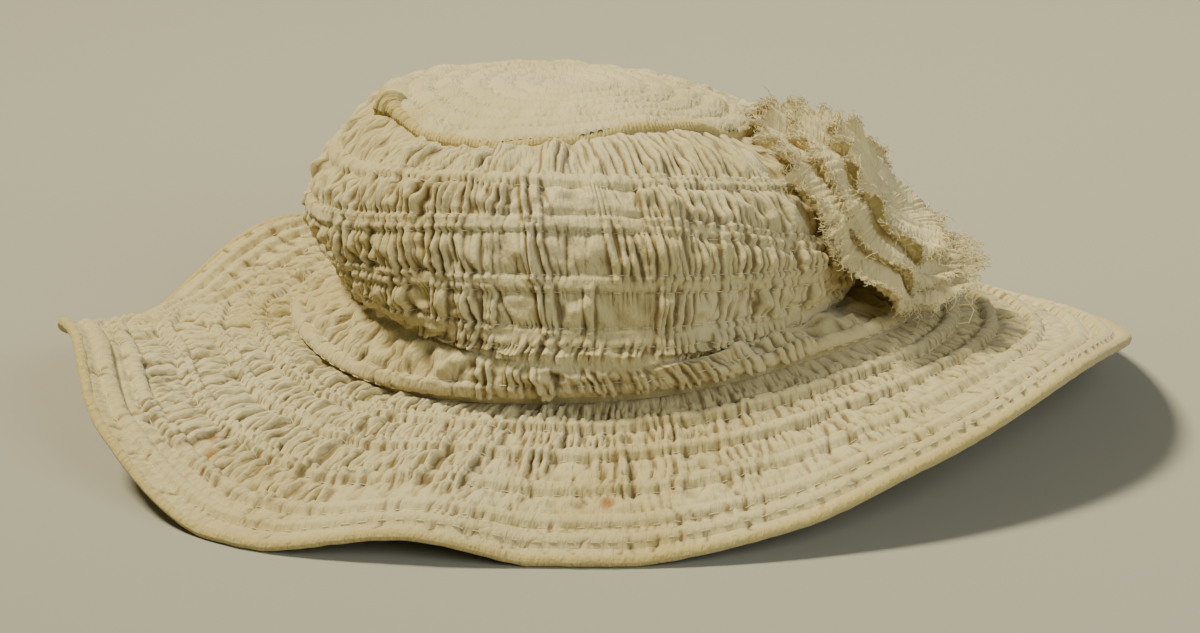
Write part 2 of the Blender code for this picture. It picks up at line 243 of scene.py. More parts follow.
CROWN_RUNS = (
    FoldRun(214.0, 4.0, 6.0, 3, 1.0, 0.30),
    FoldRun(221.0, 5.0, 6.9, 4, 1.1, 0.45),
    FoldRun(228.0, 4.0, 5.9, 3, 1.1, 0.30),
    FoldRun(234.0, 6.0, 6.9, 4, 1.0, 0.60),
    FoldRun(242.0, 2.1, 6.1, 4, 1.2, 0.08),
    FoldRun(247.0, 6.0, 6.9, 5, 1.0, 0.50),
    FoldRun(249.0, 0.7, 2.9, 3, 1.2, -0.10),
    FoldRun(252.0, 5.0, 6.0, 2, 0.9, 0.20),
    FoldRun(254.5, 0.7, 2.9, 3, 1.2, 0.10),
    FoldRun(260.0, 0.7, 6.0, 3, 1.4),
    FoldRun(264.0, 6.0, 6.9, 4, 0.9, 0.30),
    FoldRun(267.5, 2.1, 4.0, 2, 1.1, 0.10),
    FoldRun(270.0, 0.7, 2.9, 3, 1.2),
    FoldRun(275.0, 4.0, 5.1, 2, 1.1),
    FoldRun(276.0, 0.7, 2.9, 3, 1.1, 0.10),
    FoldRun(278.0, 6.0, 6.9, 3, 1.0, -0.20),
    FoldRun(283.5, 0.7, 6.0, 4, 1.4, 0.03),
    FoldRun(288.0, 4.0, 6.9, 3, 1.1),
    FoldRun(290.0, 0.7, 2.9, 3, 1.3, -0.15),
    FoldRun(296.0, 0.7, 2.9, 3, 1.2),
    FoldRun(298.0, 2.1, 5.1, 4, 1.3),
    FoldRun(303.0, 0.7, 2.9, 3, 1.1, 0.10),
    FoldRun(303.5, 5.0, 6.9, 6, 1.2, -0.05),
    FoldRun(310.0, 3.0, 6.9, 4, 1.2, -0.10),
    FoldRun(318.0, 4.0, 6.6, 4, 1.1, -0.10),
)
STAINS = (
    Stain(-0.1138, -0.0879, 0.0151, 0.0014),
    Stain(-0.1130, -0.0948, 0.0131, 0.0019),
    Stain(0.0033, -0.1275, 0.0108, 0.0020),
    Stain(0.0223, -0.1240, 0.0128, 0.0012),
    Stain(-0.0189, -0.1110, 0.0164, 0.0012),
)


def linear(code: str) -> tuple[float, float, float, float]:
    """Turns an sRGB hex colour into linear light.

    Args:
        code: The colour as six hex digits.

    Returns:
        Red, green, blue and alpha in linear light.
    """
    parts = [int(code[i : i + 2], 16) / 255 for i in (0, 2, 4)]
    low, high = 12.92, 2.4
    toned = [c / low if c <= 0.04045 else ((c + 0.055) / 1.055) ** high for c in parts]
    return (*toned, 1.0)


def unit(vectors: np.ndarray) -> np.ndarray:
    """Each vector at length one."""
    return vectors / np.maximum(np.linalg.norm(vectors, axis=-1, keepdims=True), 1e-12)


def around_ring(columns: int, lean: float = 0.0) -> np.ndarray:
    """Cuts a ring into columns.

    Args:
        columns: How many columns.
        lean: How much closer they stand on the near side than on average.

    Returns:
        The columns' angles.
    """
    even = np.linspace(0, TURN, 3601)
    return np.interp(np.arange(columns) * TURN / columns, even + lean * (np.cos(even) - 1), even)


@dataclass(frozen=True)
class Ripples:
    """Smooth random ripples that close round a ring, about one high."""

    seed: int
    slowest: float
    fastest: float
    across: float = 0.0
    terms: int = 28

    def at(self, theta: np.ndarray, place: np.ndarray) -> np.ndarray:
        """Gives the ripples' height.

        Args:
            theta: Angles of the columns.
            place: Position across the cloth, for each row and column.

        Returns:
            A height for each row and column.
        """
        draw = np.random.default_rng(self.seed)
        total = np.zeros(np.broadcast(theta, place).shape)
        for _ in range(self.terms):
            cycles = round(draw.uniform(self.slowest, self.fastest))
            steep = draw.normal(0, self.across)
            total = total + np.cos(cycles * theta + steep * place + draw.uniform(0, TURN))
        return total / math.sqrt(self.terms / 2)


@dataclass
class HatForm:
    """The hat's smooth shape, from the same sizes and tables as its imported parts."""

    sizes: HatSizes = field(default_factory=HatSizes)

    def ring(self, ring: Ring, theta: np.ndarray) -> np.ndarray:
        """Gives the points of a crown ring.

        Args:
            ring: The ring.
            theta: Angles to give it at.

        Returns:
            A point for each angle.
        """
        mean = (ring.left + ring.near + ring.right + ring.far) / 4
        arch = (ring.left + ring.right - ring.near - ring.far) / 4
        height = mean + (ring.right - ring.left) / 2 * np.cos(theta)
        height = height + (ring.far - ring.near) / 2 * np.sin(theta) + arch * np.cos(2 * theta)
        height = height + sum(wave.at(theta, 2) for wave in RING_WAVES if wave.ring == ring.name)
        size = 1 + sum(bulge.at(theta, 4) for bulge in RING_BULGES if bulge.ring == ring.name)
        return np.stack(
            [
                (ring.centre_x + ring.length * size * np.cos(theta)) * self.sizes.head_length / 2,
                (ring.centre_y + ring.width * size * np.sin(theta)) * self.sizes.head_width / 2,
                self.sizes.seam_height + self.sizes.crown_height * height,
            ],
            -1,
        )

    def crown(self, index: int, share: np.ndarray, theta: np.ndarray) -> np.ndarray:
        """Gives the crown's side over one ring, on a smooth curve through all the rings.

        Args:
            index: The ring under the cloth.
            share: The way to the next ring, for each row and column.
            theta: Angles of the columns.

        Returns:
            A point for each row and column.
        """
        rings = [self.ring(ring, theta) for ring in CROWN_RINGS]
        rings = [2 * rings[0] - rings[1], *rings, 2 * rings[-1] - rings[-2]]
        before, start, end, after = rings[index : index + 4]
        t = share[..., None]
        return 0.5 * (
            2 * start
            + (end - before) * t
            + (2 * before - 5 * start + 4 * end - after) * t**2
            + (3 * start - before - 3 * end + after) * t**3
        )

    def edge_turn(self, theta: np.ndarray, column: str) -> np.ndarray:
        """Gives the lift or reach of the brim's edge.

        Args:
            theta: Angles to give it at.
            column: Which column of the turning points.

        Returns:
            A share for each angle, on a curve that only turns at the turning points.
        """
        degrees = np.degrees(theta) % 360
        places = np.array([turn.angle for turn in EDGE_TURNS])
        values = np.array([getattr(turn, column) for turn in EDGE_TURNS])
        gap = np.diff(places, append=places[0] + 360)
        after = np.diff(values, append=values[0]) / gap
        before = np.roll(after, 1)
        turning = before * after <= 0
        slope = np.where(turning, 0, 2 * before * after / np.where(turning, 1, before + after))
        start = np.searchsorted(places, degrees, side="right") - 1
        end = (start + 1) % len(places)
        share = ((degrees - places[start]) % 360) / gap[start]
        rest = 1 - share
        level = values[start] * (1 + 2 * share) * rest**2 + values[end] * (1 + 2 * rest) * share**2
        return level + gap[start] * share * rest * (slope[start] * rest - slope[end] * share)

    def binding(self, theta: np.ndarray) -> np.ndarray:
        """Gives the middle line of the binding round the brim's edge.

        Args:
            theta: Angles to give it at.

        Returns:
            A point for each angle.
        """
        radius = self.sizes.binding_radius
        reach = self.edge_turn(theta, "reach")
        lift = np.maximum(self.edge_turn(theta, "lift"), 0) * self.sizes.edge_lift
        across = (self.sizes.brim_length / 2 - radius) * reach * np.cos(theta)
        along = (self.sizes.brim_width / 2 - radius) * reach * np.sin(theta)
        return np.stack([across, along, radius + lift], -1)

    def brim(self, share: np.ndarray, theta: np.ndarray) -> np.ndarray:
        """Gives the brim's upper face without its ribs.

        Args:
            share: The way from the head seam to the binding, for each row and column.
            theta: Angles of the columns.

        Returns:
            A point for each row and column.
        """
        seam = self.ring(CROWN_RINGS[0], theta)
        edge = self.binding(theta)
        point = seam + (edge - seam) * share[..., None]
        rest = self.sizes.binding_radius * 0.87 + self.sizes.brim_wall / 2
        seam_top = seam[:, 2] - self.sizes.gap
        lifted = (edge[:, 2] + self.sizes.brim_wall / 2 - rest) * np.abs(share) ** 1.6
        point[..., 2] = seam_top + (rest - seam_top) * share + lifted
        return point

    def tip_seam(self, theta: np.ndarray) -> np.ndarray:
        """The middle line of the piping round the tip, for each angle."""
        return self.ring(CROWN_RINGS[-1], theta)

    def level_out(self, line: np.ndarray) -> np.ndarray:
        """Gives the level direction out of a closed line.

        Args:
            line: Points of the line.

        Returns:
            A direction for each of its points.
        """
        along = np.roll(line, -1, 0) - np.roll(line, 1, 0)
        along[:, 2] = 0
        return unit(np.cross(along, [0, 0, 1]))


@dataclass
class Cloth:
    """A grid of cloth closed round a ring, with a relief over its smooth face."""

    theta: np.ndarray
    points: np.ndarray
    across: np.ndarray
    facing: Facing
    cut_flat: bool = False
    full_crease: float = 0.00038
    relief: np.ndarray = field(init=False)
    folds: np.ndarray = field(init=False)
    creases: np.ndarray = field(init=False)
    stitch_shade: np.ndarray = field(init=False)
    normal: np.ndarray = field(init=False)
    step: np.ndarray = field(init=False)
    pace: np.ndarray = field(init=False)

    def __post_init__(self) -> None:
        """Works out the normals, the columns' steps, and how many metres a radian is at each point."""
        around = np.roll(self.points, -1, 1) - np.roll(self.points, 1, 1)
        across = np.gradient(self.points, axis=0)
        self.normal = unit(np.cross(around, across)) * self.facing.value
        self.step = (np.roll(self.theta, -1) - self.theta) % TURN
        self.pace = np.linalg.norm(around, axis=-1) / (self.step + np.roll(self.step, 1))
        for layer in ("relief", "folds", "creases", "stitch_shade"):
            setattr(self, layer, np.zeros(self.across.shape))

    def height(self) -> np.ndarray:
        """How far each point stands off the smooth face."""
        return self.relief + self.folds - self.creases

    def raised(self) -> np.ndarray:
        """The cloth's points with the relief, the folds and the creases on them."""
        return self.points + self.normal * self.height()[..., None]

    def crease(self) -> np.ndarray:
        """Gives how deep each point lies in a fold, which masks the painted shade.

        Returns:
            0 on open cloth to 1 in a tight crease or a stitch dip, for each row and column.
        """
        height = self.height()
        steps = range(-4, 5)
        mean = sum(np.roll(height, step, 1) for step in steps) / len(steps)
        return np.clip((mean - height) / self.full_crease + self.stitch_shade, 0, 1)

    def mesh(self, name: str, age: np.ndarray | None = None) -> bpy.types.Object:
        """Makes the cloth's object.

        Args:
            name: The object's name.
            age: How yellowed each point is, from 0 to 1.

        Returns:
            The object, with its creases (the mask of the painted shade) and age as attributes and its
            lengths as texture coordinates.
        """
        rows, columns = self.across.shape
        index = np.arange(rows * columns).reshape(rows, columns)
        after = np.roll(index, -1, axis=1)
        corners = [index[:-1], after[:-1], after[1:], index[1:]]
        along = np.cumsum(np.concatenate([[0], self.pace.mean(axis=0) * self.step]))
        u = [along[:-1], along[1:], along[1:], along[:-1]]
        beside = np.roll(self.across, -1, axis=1)
        v = [self.across[:-1], beside[:-1], beside[1:], self.across[1:]]
        if self.cut_flat:
            plan = self.points[..., :2]
            beside = np.roll(plan, -1, axis=1)
            quad = (plan[:-1], beside[:-1], beside[1:], plan[1:])
            u, v = ([corner[..., axis] for corner in quad] for axis in (0, 1))
        if self.facing is Facing.UPWARD:
            corners, u, v = corners[::-1], u[::-1], v[::-1]
        faces = np.stack(corners, -1).reshape(-1, 4)
        pairs = [np.stack([np.broadcast_to(a, b.shape), b], -1) for a, b in zip(u, v)]
        obj = mesh_object(name, self.raised().reshape(-1, 3), faces)
        layer = obj.data.uv_layers.new(name="cloth")
        layer.uv.foreach_set("vector", np.stack(pairs, 2).astype(np.float32).ravel())
        put_attribute(obj, "crease", self.crease())
        put_attribute(obj, "age", np.zeros(self.across.shape) if age is None else age)
        return obj


def mesh_object(name: str, points: np.ndarray, faces: np.ndarray) -> bpy.types.Object:
    """Makes a smooth mesh object in the scene.

    Args:
        name: The object's name.
        points: Its vertices.
        faces: The vertices of each face.

    Returns:
        The object.
    """
    mesh = bpy.data.meshes.new(name)
    mesh.from_pydata(points.tolist(), [], faces.tolist())
    mesh.shade_smooth()
    mesh.update()
    obj = bpy.data.objects.new(name, mesh)
    bpy.context.scene.collection.objects.link(obj)
    return obj


def put_attribute(obj: bpy.types.Object, name: str, values: np.ndarray) -> None:
    """Stores one number on each vertex.

    Args:
        obj: The mesh object.
        name: The attribute's name.
        values: The numbers, in the order of the vertices.
    """
    layer = obj.data.attributes.new(name, "FLOAT", "POINT")
    layer.data.foreach_set("value", np.ascontiguousarray(values, dtype=np.float32).ravel())


def tubes(name: str, lines: np.ndarray, ups: np.ndarray, radii: np.ndarray, sides: int) -> bpy.types.Object:
    """Makes many short tubes as one object.

    Args:
        name: The object's name.
        lines: The points along each tube, as tubes x points x 3.
        ups: A direction across each tube at each point.
        radii: The radius at each point along a tube.
        sides: How many sides a tube has.

    Returns:
        The object.
    """
    count, steps = lines.shape[:2]
    along = unit(np.gradient(lines, axis=1))
    side = unit(np.cross(along, ups))
    lift = np.cross(side, along)
    turns = around_ring(sides)
    spokes = side[:, :, None] * np.cos(turns)[:, None] + lift[:, :, None] * np.sin(turns)[:, None]
    points = lines[:, :, None] + spokes * np.broadcast_to(radii, (count, steps))[:, :, None, None]
    index = np.arange(count * steps * sides).reshape(count, steps, sides)
    after = np.roll(index, -1, axis=2)
    faces = np.stack([index[:, :-1], after[:, :-1], after[:, 1:], index[:, 1:]], -1)
    return mesh_object(name, points.reshape(-1, 3), faces.reshape(-1, 4))


@dataclass(frozen=True)
class Relief:
    """How cords, gathers and folds raise a cloth, with a dip's place and width in half widths of a cord."""

    sizes: HatSizes
    dip_place: float = 1.25
    dip_width: float = 0.28
    dip_depth: float = 0.42
    fold_top: float = 0.6

    def rib(self, away: np.ndarray) -> np.ndarray:
        """Gives the rise over a cord and the dip along its two rows of stitches.

        Args:
            away: Distance from the cord's middle.

        Returns:
            The rise.
        """
        half = self.sizes.cord_half_width
        round_top = np.sqrt(np.clip(1 - (away / half) ** 2, 0, 1))
        dip = np.exp(-(((away - half * self.dip_place) / (half * self.dip_width)) ** 2))
        return self.sizes.cord_rise * (round_top - self.dip_depth * dip)

    def lay(
        self,
        cloth: Cloth,
        angle: float,
        track: np.ndarray,
        width: float,
        height: np.ndarray,
        inward: bool = False,
    ) -> None:
        """Lays one fold on a cloth, round on top, or draws in one crease, sharp at its foot.

        Args:
            cloth: The cloth.
            angle: Where it runs.
            track: How far it strays from that angle on each row, in metres.
            width: Half its width.
            height: Its height, or depth, on each row.
            inward: Whether it is a crease.
        """
        place = int(np.searchsorted(cloth.theta, angle)) % len(cloth.theta)
        reach = 1.5 * width + np.abs(track).max()
        window = int(reach / (cloth.pace[:, place].min() * cloth.step[place])) + 2
        chosen = (place + np.arange(-window, window + 1)) % len(cloth.theta)
        turn = (cloth.theta[chosen] - angle + math.pi) % TURN - math.pi
        away = (turn[None, :] * cloth.pace[:, chosen] - track[:, None]) / width
        if inward:
            shape = 1 - np.sqrt(1 - (1 - np.clip(np.abs(away), 0, 1)) ** 2)
        else:
            shape = np.clip(1 - away**2, 0, 1) ** self.fold_top
        layer = cloth.creases if inward else cloth.folds
        layer[:, chosen] = np.maximum(layer[:, chosen], height[:, None] * shape)


@dataclass
class TierRows:
    """The rows of a gathered cloth, tier by tier, with what raises the cloth on each."""

    relief: Relief
    pucker_fade: float
    pucker_clear: float = 0.0030
    crumple_clear: float = 0.0060
    stitch_row: int = 3
    place: list[np.ndarray] = field(default_factory=list)
    ribs: list[np.ndarray] = field(default_factory=list)
    puffs: list[np.ndarray] = field(default_factory=list)
    puckers: list[np.ndarray] = field(default_factory=list)
    crumples: list[np.ndarray] = field(default_factory=list)
    stitched: list[int] = field(default_factory=list)
    tiers: int = 0
    count: int = 0

    def add_flat(self, rows: np.ndarray) -> None:
        """Adds rows with nothing on them.

        Args:
            rows: As many rows and columns as are added.
        """
        for layer in (self.place, self.ribs, self.puffs, self.puckers, self.crumples):
            layer.append(rows * 0)
        self.count += len(rows)

    def add(
        self,
        tier: Tier,
        rows: np.ndarray,
        length: np.ndarray,
        corded: tuple[bool, bool],
        rib: float = 1.0,
    ) -> None:
        """Adds the next tier.

        Args:
            tier: Its puffs and gathers.
            rows: How far each row and column lies from its foot.
            length: The way across it at each column.
            corded: Whether a cord runs at its foot and at its top.
            rib: How high its cords stand, as a share.
        """
        sizes = self.relief.sizes
        share = rows / length
        # Where no cord runs, the nearest one is taken as a metre away.
        far = np.full(rows.shape, 1.0)
        away = np.minimum(rows if corded[0] else far, length - rows if corded[1] else far)
        beyond = np.maximum(away - self.pucker_clear, 0)
        self.place.append(self.tiers + share)
        self.tiers += 1
        self.ribs.append(self.relief.rib(away) * rib)
        self.puffs.append(tier.puff * sizes.cord_rise * 4 * share * (1 - share))
        off_cord = away > sizes.cord_half_width
        self.puckers.append(tier.pucker * np.exp(-beyond / self.pucker_fade) * off_cord)
        self.crumples.append(tier.crumple * np.clip(away / self.crumple_clear, 0, 1))
        if corded[0]:
            self.stitched.append(self.count + self.stitch_row)
        if corded[1]:
            self.stitched.append(self.count + len(rows) - self.stitch_row)
        self.count += len(rows)


@dataclass
class Finish:
    """Plain-weave cotton, washed and never pressed: matt and a little furry, with painted shade in its
    folds and creases.
    """

    name: str
    colour: str
    shade: str
    aged: str
    see_through: float = 0.0
    stains: tuple[Stain, ...] = ()
    patch_scale: float = 26.0
    patch_range: tuple[float, float] = (0.35, 0.7)
    # Painted shade: a dark brown laid over the cloth in its folds, creases and stitch dips, at most this
    # share of it.
    crease_shade: str = "5f4a22"
    crease_shade_share: float = 0.78
    rust: str = "8e5a16"
    rust_share: float = 0.7
    rust_edge: tuple[float, float] = (-0.0012, 0.0010)
    rust_scale: float = 400.0
    crinkle_scale: tuple[float, float, float] = (620.0, 240.0, 1.0)
    crinkle_depth: float = 0.0016
    crinkle_strength: float = 0.8
    grain_scale: float = 2400.0
    grain_depth: float = 0.00020
    grain_strength: float = 0.7
    roughness: float = 0.92
    sheen: float = 0.25
    sheen_roughness: float = 0.5
    gloss: float = 0.2

    def build(self) -> bpy.types.Material:
        """Makes the material.

        Returns:
            The material.
        """
        material = bpy.data.materials.new(self.name)
        material.use_nodes = True
        tree = material.node_tree
        tree.nodes.clear()

        def add(kind: str, inputs: dict | None = None, **settings: object) -> bpy.types.Node:
            """Adds a node with its settings and links.

            Args:
                kind: The node's type.
                inputs: Values or sockets for its inputs.
                **settings: Its other settings.

            Returns:
                The node.
            """
            node = tree.nodes.new("ShaderNode" + kind)
            for key, value in settings.items():
                setattr(node, key, value)
            for key, value in (inputs or {}).items():
                if isinstance(value, bpy.types.NodeSocket):
                    tree.links.new(value, node.inputs[key])
                else:
                    node.inputs[key].default_value = value
            return node

        def tint(base: object, colour: str, amount: bpy.types.NodeSocket) -> bpy.types.NodeSocket:
            """Lays a colour over another.

            Args:
                base: The colour or socket under it.
                colour: The colour as six hex digits.
                amount: How much of it shows.

            Returns:
                The mixed colour.
            """
            mixed = add("Mix", {"Factor": amount, "A": base, "B": linear(colour)}, data_type="RGBA")
            return mixed.outputs["Result"]

        place = add("TexCoord").outputs["Object"]
        cloth = add("UVMap", uv_map="cloth").outputs["UV"]
        # Washing leaves cloudy patches of cleaner and duller cloth, a few centimetres across.
        cloud = add("TexNoise", {"Vector": place, "Scale": self.patch_scale, "Detail": 4.0}).outputs["Fac"]
        low, high = self.patch_range
        patch = add("MapRange", {"Value": cloud, "From Min": low, "From Max": high})
        colour = tint(linear(self.colour), self.shade, patch.outputs["Result"])
        age = add("Attribute", attribute_name="age")
        colour = tint(colour, self.aged, age.outputs["Fac"])
        # Painted shade: the cloth darkens towards a dark brown as deep as it lies in a fold or crease, and
        # in the stitch dips.
        crease = add("Attribute", attribute_name="crease").outputs["Fac"]
        crease_shade = add("Math", {0: crease, 1: self.crease_shade_share}, operation="MULTIPLY")
        colour = tint(colour, self.crease_shade, crease_shade.outputs[0])
        for stain in self.stains:
            spot = (stain.x, stain.y, stain.z)
            away = add("VectorMath", {0: place, 1: spot}, operation="DISTANCE").outputs["Value"]
            noise = add("TexNoise", {"Vector": place, "Scale": self.rust_scale}).outputs["Fac"]
            wide = add("Math", {0: noise, 1: stain.radius * 2}, operation="MULTIPLY").outputs[0]
            inner = add("Math", {0: wide, 1: away}, operation="SUBTRACT").outputs[0]
            low, high = self.rust_edge
            ends = {"From Min": low, "From Max": high, "To Max": self.rust_share}
            amount = add("MapRange", {"Value": inner, **ends})
            colour = tint(colour, self.rust, amount.outputs["Result"])
        # Soft crinkles run along the gathers, and the grain of the thread lies over them.
        stretch = add("Mapping", {"Vector": cloth, "Scale": self.crinkle_scale}).outputs["Vector"]
        crinkle = add("TexNoise", {"Vector": stretch, "Detail": 3.0, "Scale": 1.0}).outputs["Fac"]
        grain = add("TexNoise", {"Vector": cloth, "Scale": self.grain_scale, "Detail": 2.0}).outputs["Fac"]
        bump = {"Distance": self.crinkle_depth, "Strength": self.crinkle_strength}
        bumped = add("Bump", {"Height": crinkle, **bump}).outputs["Normal"]
        bump = {"Distance": self.grain_depth, "Strength": self.grain_strength}
        normal = add("Bump", {"Height": grain, **bump, "Normal": bumped}).outputs["Normal"]
        shader = add(
            "BsdfPrincipled",
            {
                "Base Color": colour,
                "Roughness": self.roughness,
                "Sheen Weight": self.sheen,
                "Sheen Roughness": self.sheen_roughness,
                "Specular IOR Level": self.gloss,
                "Normal": normal,
            },
        )
        light = add("BsdfTranslucent", {"Color": colour, "Normal": normal})
        mixed = add("MixShader", {0: self.see_through, 1: shader.outputs[0], 2: light.outputs[0]})
        add("OutputMaterial", {"Surface": mixed.outputs[0]})
        return material


@dataclass
class Wardrobe:
    """The finishes of all the pieces, each made once."""

    cream: Finish = field(
        default_factory=lambda: Finish("washed_calico", "c2b88c", "b4a774", "af9d65", stains=STAINS)
    )
    aged: Finish = field(default_factory=lambda: Finish("yellowed_calico", "c0b17c", "b5a66b", "a89858"))
    muslin: Finish = field(
        default_factory=lambda: Finish("muslin", "e0d6a8", "d6ca98", "c9b67e", see_through=0.25)
    )
    thread: Finish = field(default_factory=lambda: Finish("linen_thread", "d6caa6", "ccbd92", "bda878"))
    made: dict[str, bpy.types.Material] = field(default_factory=dict)

    def dress(self, obj: bpy.types.Object, finish: Finish, slot: Slot) -> bpy.types.Object:
        """Gives a piece its material and its place in the frame.

        Args:
            obj: The piece.
            finish: Its finish.
            slot: The record's slot that it takes; not used.

        Returns:
            The piece.
        """
        if finish.name not in self.made:
            self.made[finish.name] = finish.build()
        obj.data.materials.append(self.made[finish.name])
        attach(obj, "root")
        area = sum(face.area for face in obj.data.polygons)
        LOG.info("%s: %d faces, %.4f square metres", obj.name, len(obj.data.polygons), area)
        return obj


def corded(
    theta: np.ndarray, line: np.ndarray, out: np.ndarray, thick: np.ndarray, radius: float, lowest: float
) -> Cloth:
    """Wraps cloth round a cord that closes on itself.

    Args:
        theta: Angles of the columns.
        line: The cord's middle line.
        out: The level direction out of it.
        thick: The cover's radius at each row and column.
        radius: The radius that its width is measured at.
        lowest: The height that it is pressed flat at.

    Returns:
        The cover.
    """
    spin = around_ring(len(thick))[:, None] + 0 * theta
    ring = np.cos(spin)[..., None] * out + np.sin(spin)[..., None] * np.array([0, 0, 1])
    points = line + ring * thick[..., None]
    points = np.concatenate([points, points[:1]])
    points[..., 2] = np.maximum(points[..., 2], lowest)
    across = np.concatenate([spin, spin[:1] + TURN]) * radius
    return Cloth(theta, points, across, Facing.UPWARD)


@dataclass(frozen=True)
class RunningStitch:
    """Rows of hand running stitch: short stitches of one length with gaps of another."""

    stitch: float = 0.0030
    space: float = 0.0026
    radius: float = 0.00016
    rise: float = 0.00010
    stray: float = 0.15
    lengths: tuple[float, float] = (0.75, 1.2)
    bends: tuple[float, ...] = (0.0, 0.2, 0.8, 1.0)
    thread: tuple[float, ...] = (0.5, 1.0, 1.0, 0.5)

    def row(self, line: np.ndarray, normal: np.ndarray, seed: int) -> tuple[np.ndarray, np.ndarray]:
        """Lays one row of stitches along a closed line.

        Args:
            line: Points of the line.
            normal: The cloth's normal at each point.
            seed: Draws the small differences between stitches.

        Returns:
            The points of each stitch, and the normals at them.
        """
        draw = np.random.default_rng(seed)
        closed = np.concatenate([line, line[:1]])
        normals = np.concatenate([normal, normal[:1]])
        run = np.concatenate([[0], np.cumsum(np.linalg.norm(np.diff(closed, axis=0), axis=1))])
        count = int(run[-1] / (self.stitch + self.space))
        start = np.arange(count) * run[-1] / count + draw.normal(0, self.space * self.stray, count)
        length = self.stitch * draw.uniform(*self.lengths, count)
        places = (start[:, None] + length[:, None] * np.array(self.bends)) % run[-1]
        lines = np.stack([np.interp(places, run, closed[:, i]) for i in range(3)], -1)
        ups = unit(np.stack([np.interp(places, run, normals[:, i]) for i in range(3)], -1))
        rises = np.array([-self.radius, self.rise, self.rise, -self.radius])
        return lines + ups * rises[None, :, None], ups


@dataclass
class GatheredCloth:
    """A cloth drawn up on rows of cord, which the crown's side and the brim both are."""

    form: HatForm
    wardrobe: Wardrobe
    columns: int = 1200
    lean: float = 0.4
    seed: int = 3
    close_rows: tuple[float, ...] = (0.0, 0.0009, 0.0018, 0.0025, 0.0033)
    close_share: float = 0.42
    pitches: tuple[float, float] = (0.0015, 0.0027)
    fold_widths: tuple[float, float] = (0.44, 0.58)
    fold_heights: tuple[float, float] = (0.75, 1.2)
    fold_fade: float = 0.15
    fold_stray: float = 0.12
    jog: float = 0.0005
    sway: float = 0.0004
    slant_unit: float = 0.01
    crease_spans: tuple[tuple[float, float], ...] = (
        (0.0, 1.0),
        (0.0, 0.45),
        (0.55, 1.0),
        (-0.4, 0.5),
        (0.3, 1.4),
    )
    crease_widths: tuple[float, float] = (0.0011, 0.0030)
    crease_depth: float = 0.0014
    crease_fade: float = 0.2
    crease_lean: float = 0.0035
    crease_sway: float = 0.0012
    # How strong the painted shade is in the dips between two stitches.
    stitch_dip_shade: float = 0.55
    fine_relief: float = 0.0006
    rough_relief: float = 0.0006

    def tier_rows(self, length: np.ndarray, middles: int, next_corded: bool) -> np.ndarray:
        """Spaces the rows of a tier, close together by its cords.

        Args:
            length: The way across the tier at each column.
            middles: How many rows lie between the close ones.
            next_corded: Whether the tier ends at a cord.

        Returns:
            Distances from the tier's foot, for each row and column.
        """
        close = np.array(self.close_rows)[:, None]
        close = close * np.minimum(1, self.close_share * length / close[-1])
        low = close[-1]
        high = length - close[-1] if next_corded else length
        inner = np.linspace(0, 1, middles + 2)[1:-1, None]
        rows = [close, low + (high - low) * inner]
        if next_corded:
            rows.append(length - close[:0:-1])
        return np.concatenate(rows)

    def lay_folds(self, cloth: Cloth, place: np.ndarray, relief: Relief, runs: list[FoldRun]) -> None:
        """Adds groups of folds to a cloth.

        Args:
            cloth: The cloth.
            place: The position of each row, in tiers.
            relief: Lays the folds.
            runs: The groups.
        """
        draw = np.random.default_rng(self.seed)
        tier = np.floor(place + 0.5).astype(int) + 1
        # Each fold shifts a little sideways over every cord, within a tenth of a tier on both sides.
        jog = np.clip((place + 1.5 - tier - 0.4) / 0.2, 0, 1)
        jog = jog**2 * (3 - 2 * jog)
        for run in runs:
            pitch = draw.uniform(*self.pitches)
            for step in range(run.folds):
                start = run.first + draw.uniform(-self.fold_stray, self.fold_stray)
                end = run.last + draw.uniform(-self.fold_stray, self.fold_stray)
                fade = np.clip((place - start) / self.fold_fade, 0, 1)
                fade = fade * np.clip((end - place) / self.fold_fade, 0, 1)
                levels = draw.normal(0, self.jog, tier.max() + 2)
                track = levels[tier] * (1 - jog) + levels[tier + 1] * jog
                track = track + self.sway * np.sin(place * draw.uniform(3, 7) + draw.uniform(0, TURN))
                track = track + (step - (run.folds - 1) / 2) * pitch
                track = track + run.slant * self.slant_unit * (place - run.first)
                over_cord = 0.28 + 0.72 * np.abs(np.sin(math.pi * place)) ** 0.4
                height = (0.68 * pitch + 0.0003) * run.depth * draw.uniform(*self.fold_heights)
                width = pitch * draw.uniform(*self.fold_widths)
                relief.lay(cloth, math.radians(run.angle % 360), track, width, height * fade * over_cord)

    def lay_creases(self, cloth: Cloth, place: np.ndarray, relief: Relief, counts: tuple[int, ...]) -> None:
        """Draws in single creases, from cord to cord or only a little way from one.

        Args:
            cloth: The cloth.
            place: The position of each row, in tiers.
            relief: Lays the creases.
            counts: How many creases each tier has.
        """
        draw = np.random.default_rng(self.seed + 17)
        over_cord = 0.3 + 0.7 * np.abs(np.sin(math.pi * place)) ** 0.5
        for tier, count in enumerate(counts):
            for _ in range(count):
                low, high = self.crease_spans[draw.integers(0, len(self.crease_spans))]
                start = tier + low - draw.uniform(0, 0.1)
                end = tier + high + draw.uniform(0, 0.1)
                fade = np.clip((place - start) / self.crease_fade, 0, 1)
                fade = fade * np.clip((end - place) / self.crease_fade, 0, 1)
                way = place - (start + end) / 2
                bend = self.crease_sway * np.sin(way * draw.uniform(2, 6) + draw.uniform(0, TURN))
                track = draw.normal(0, self.crease_lean) * np.clip(way, -0.8, 0.8) + bend
                depth = draw.uniform(0.4, 1.0) * self.crease_depth * fade * over_cord
                angle, width = draw.uniform(0, TURN), draw.uniform(*self.crease_widths)
                relief.lay(cloth, angle, track, width, depth, inward=True)

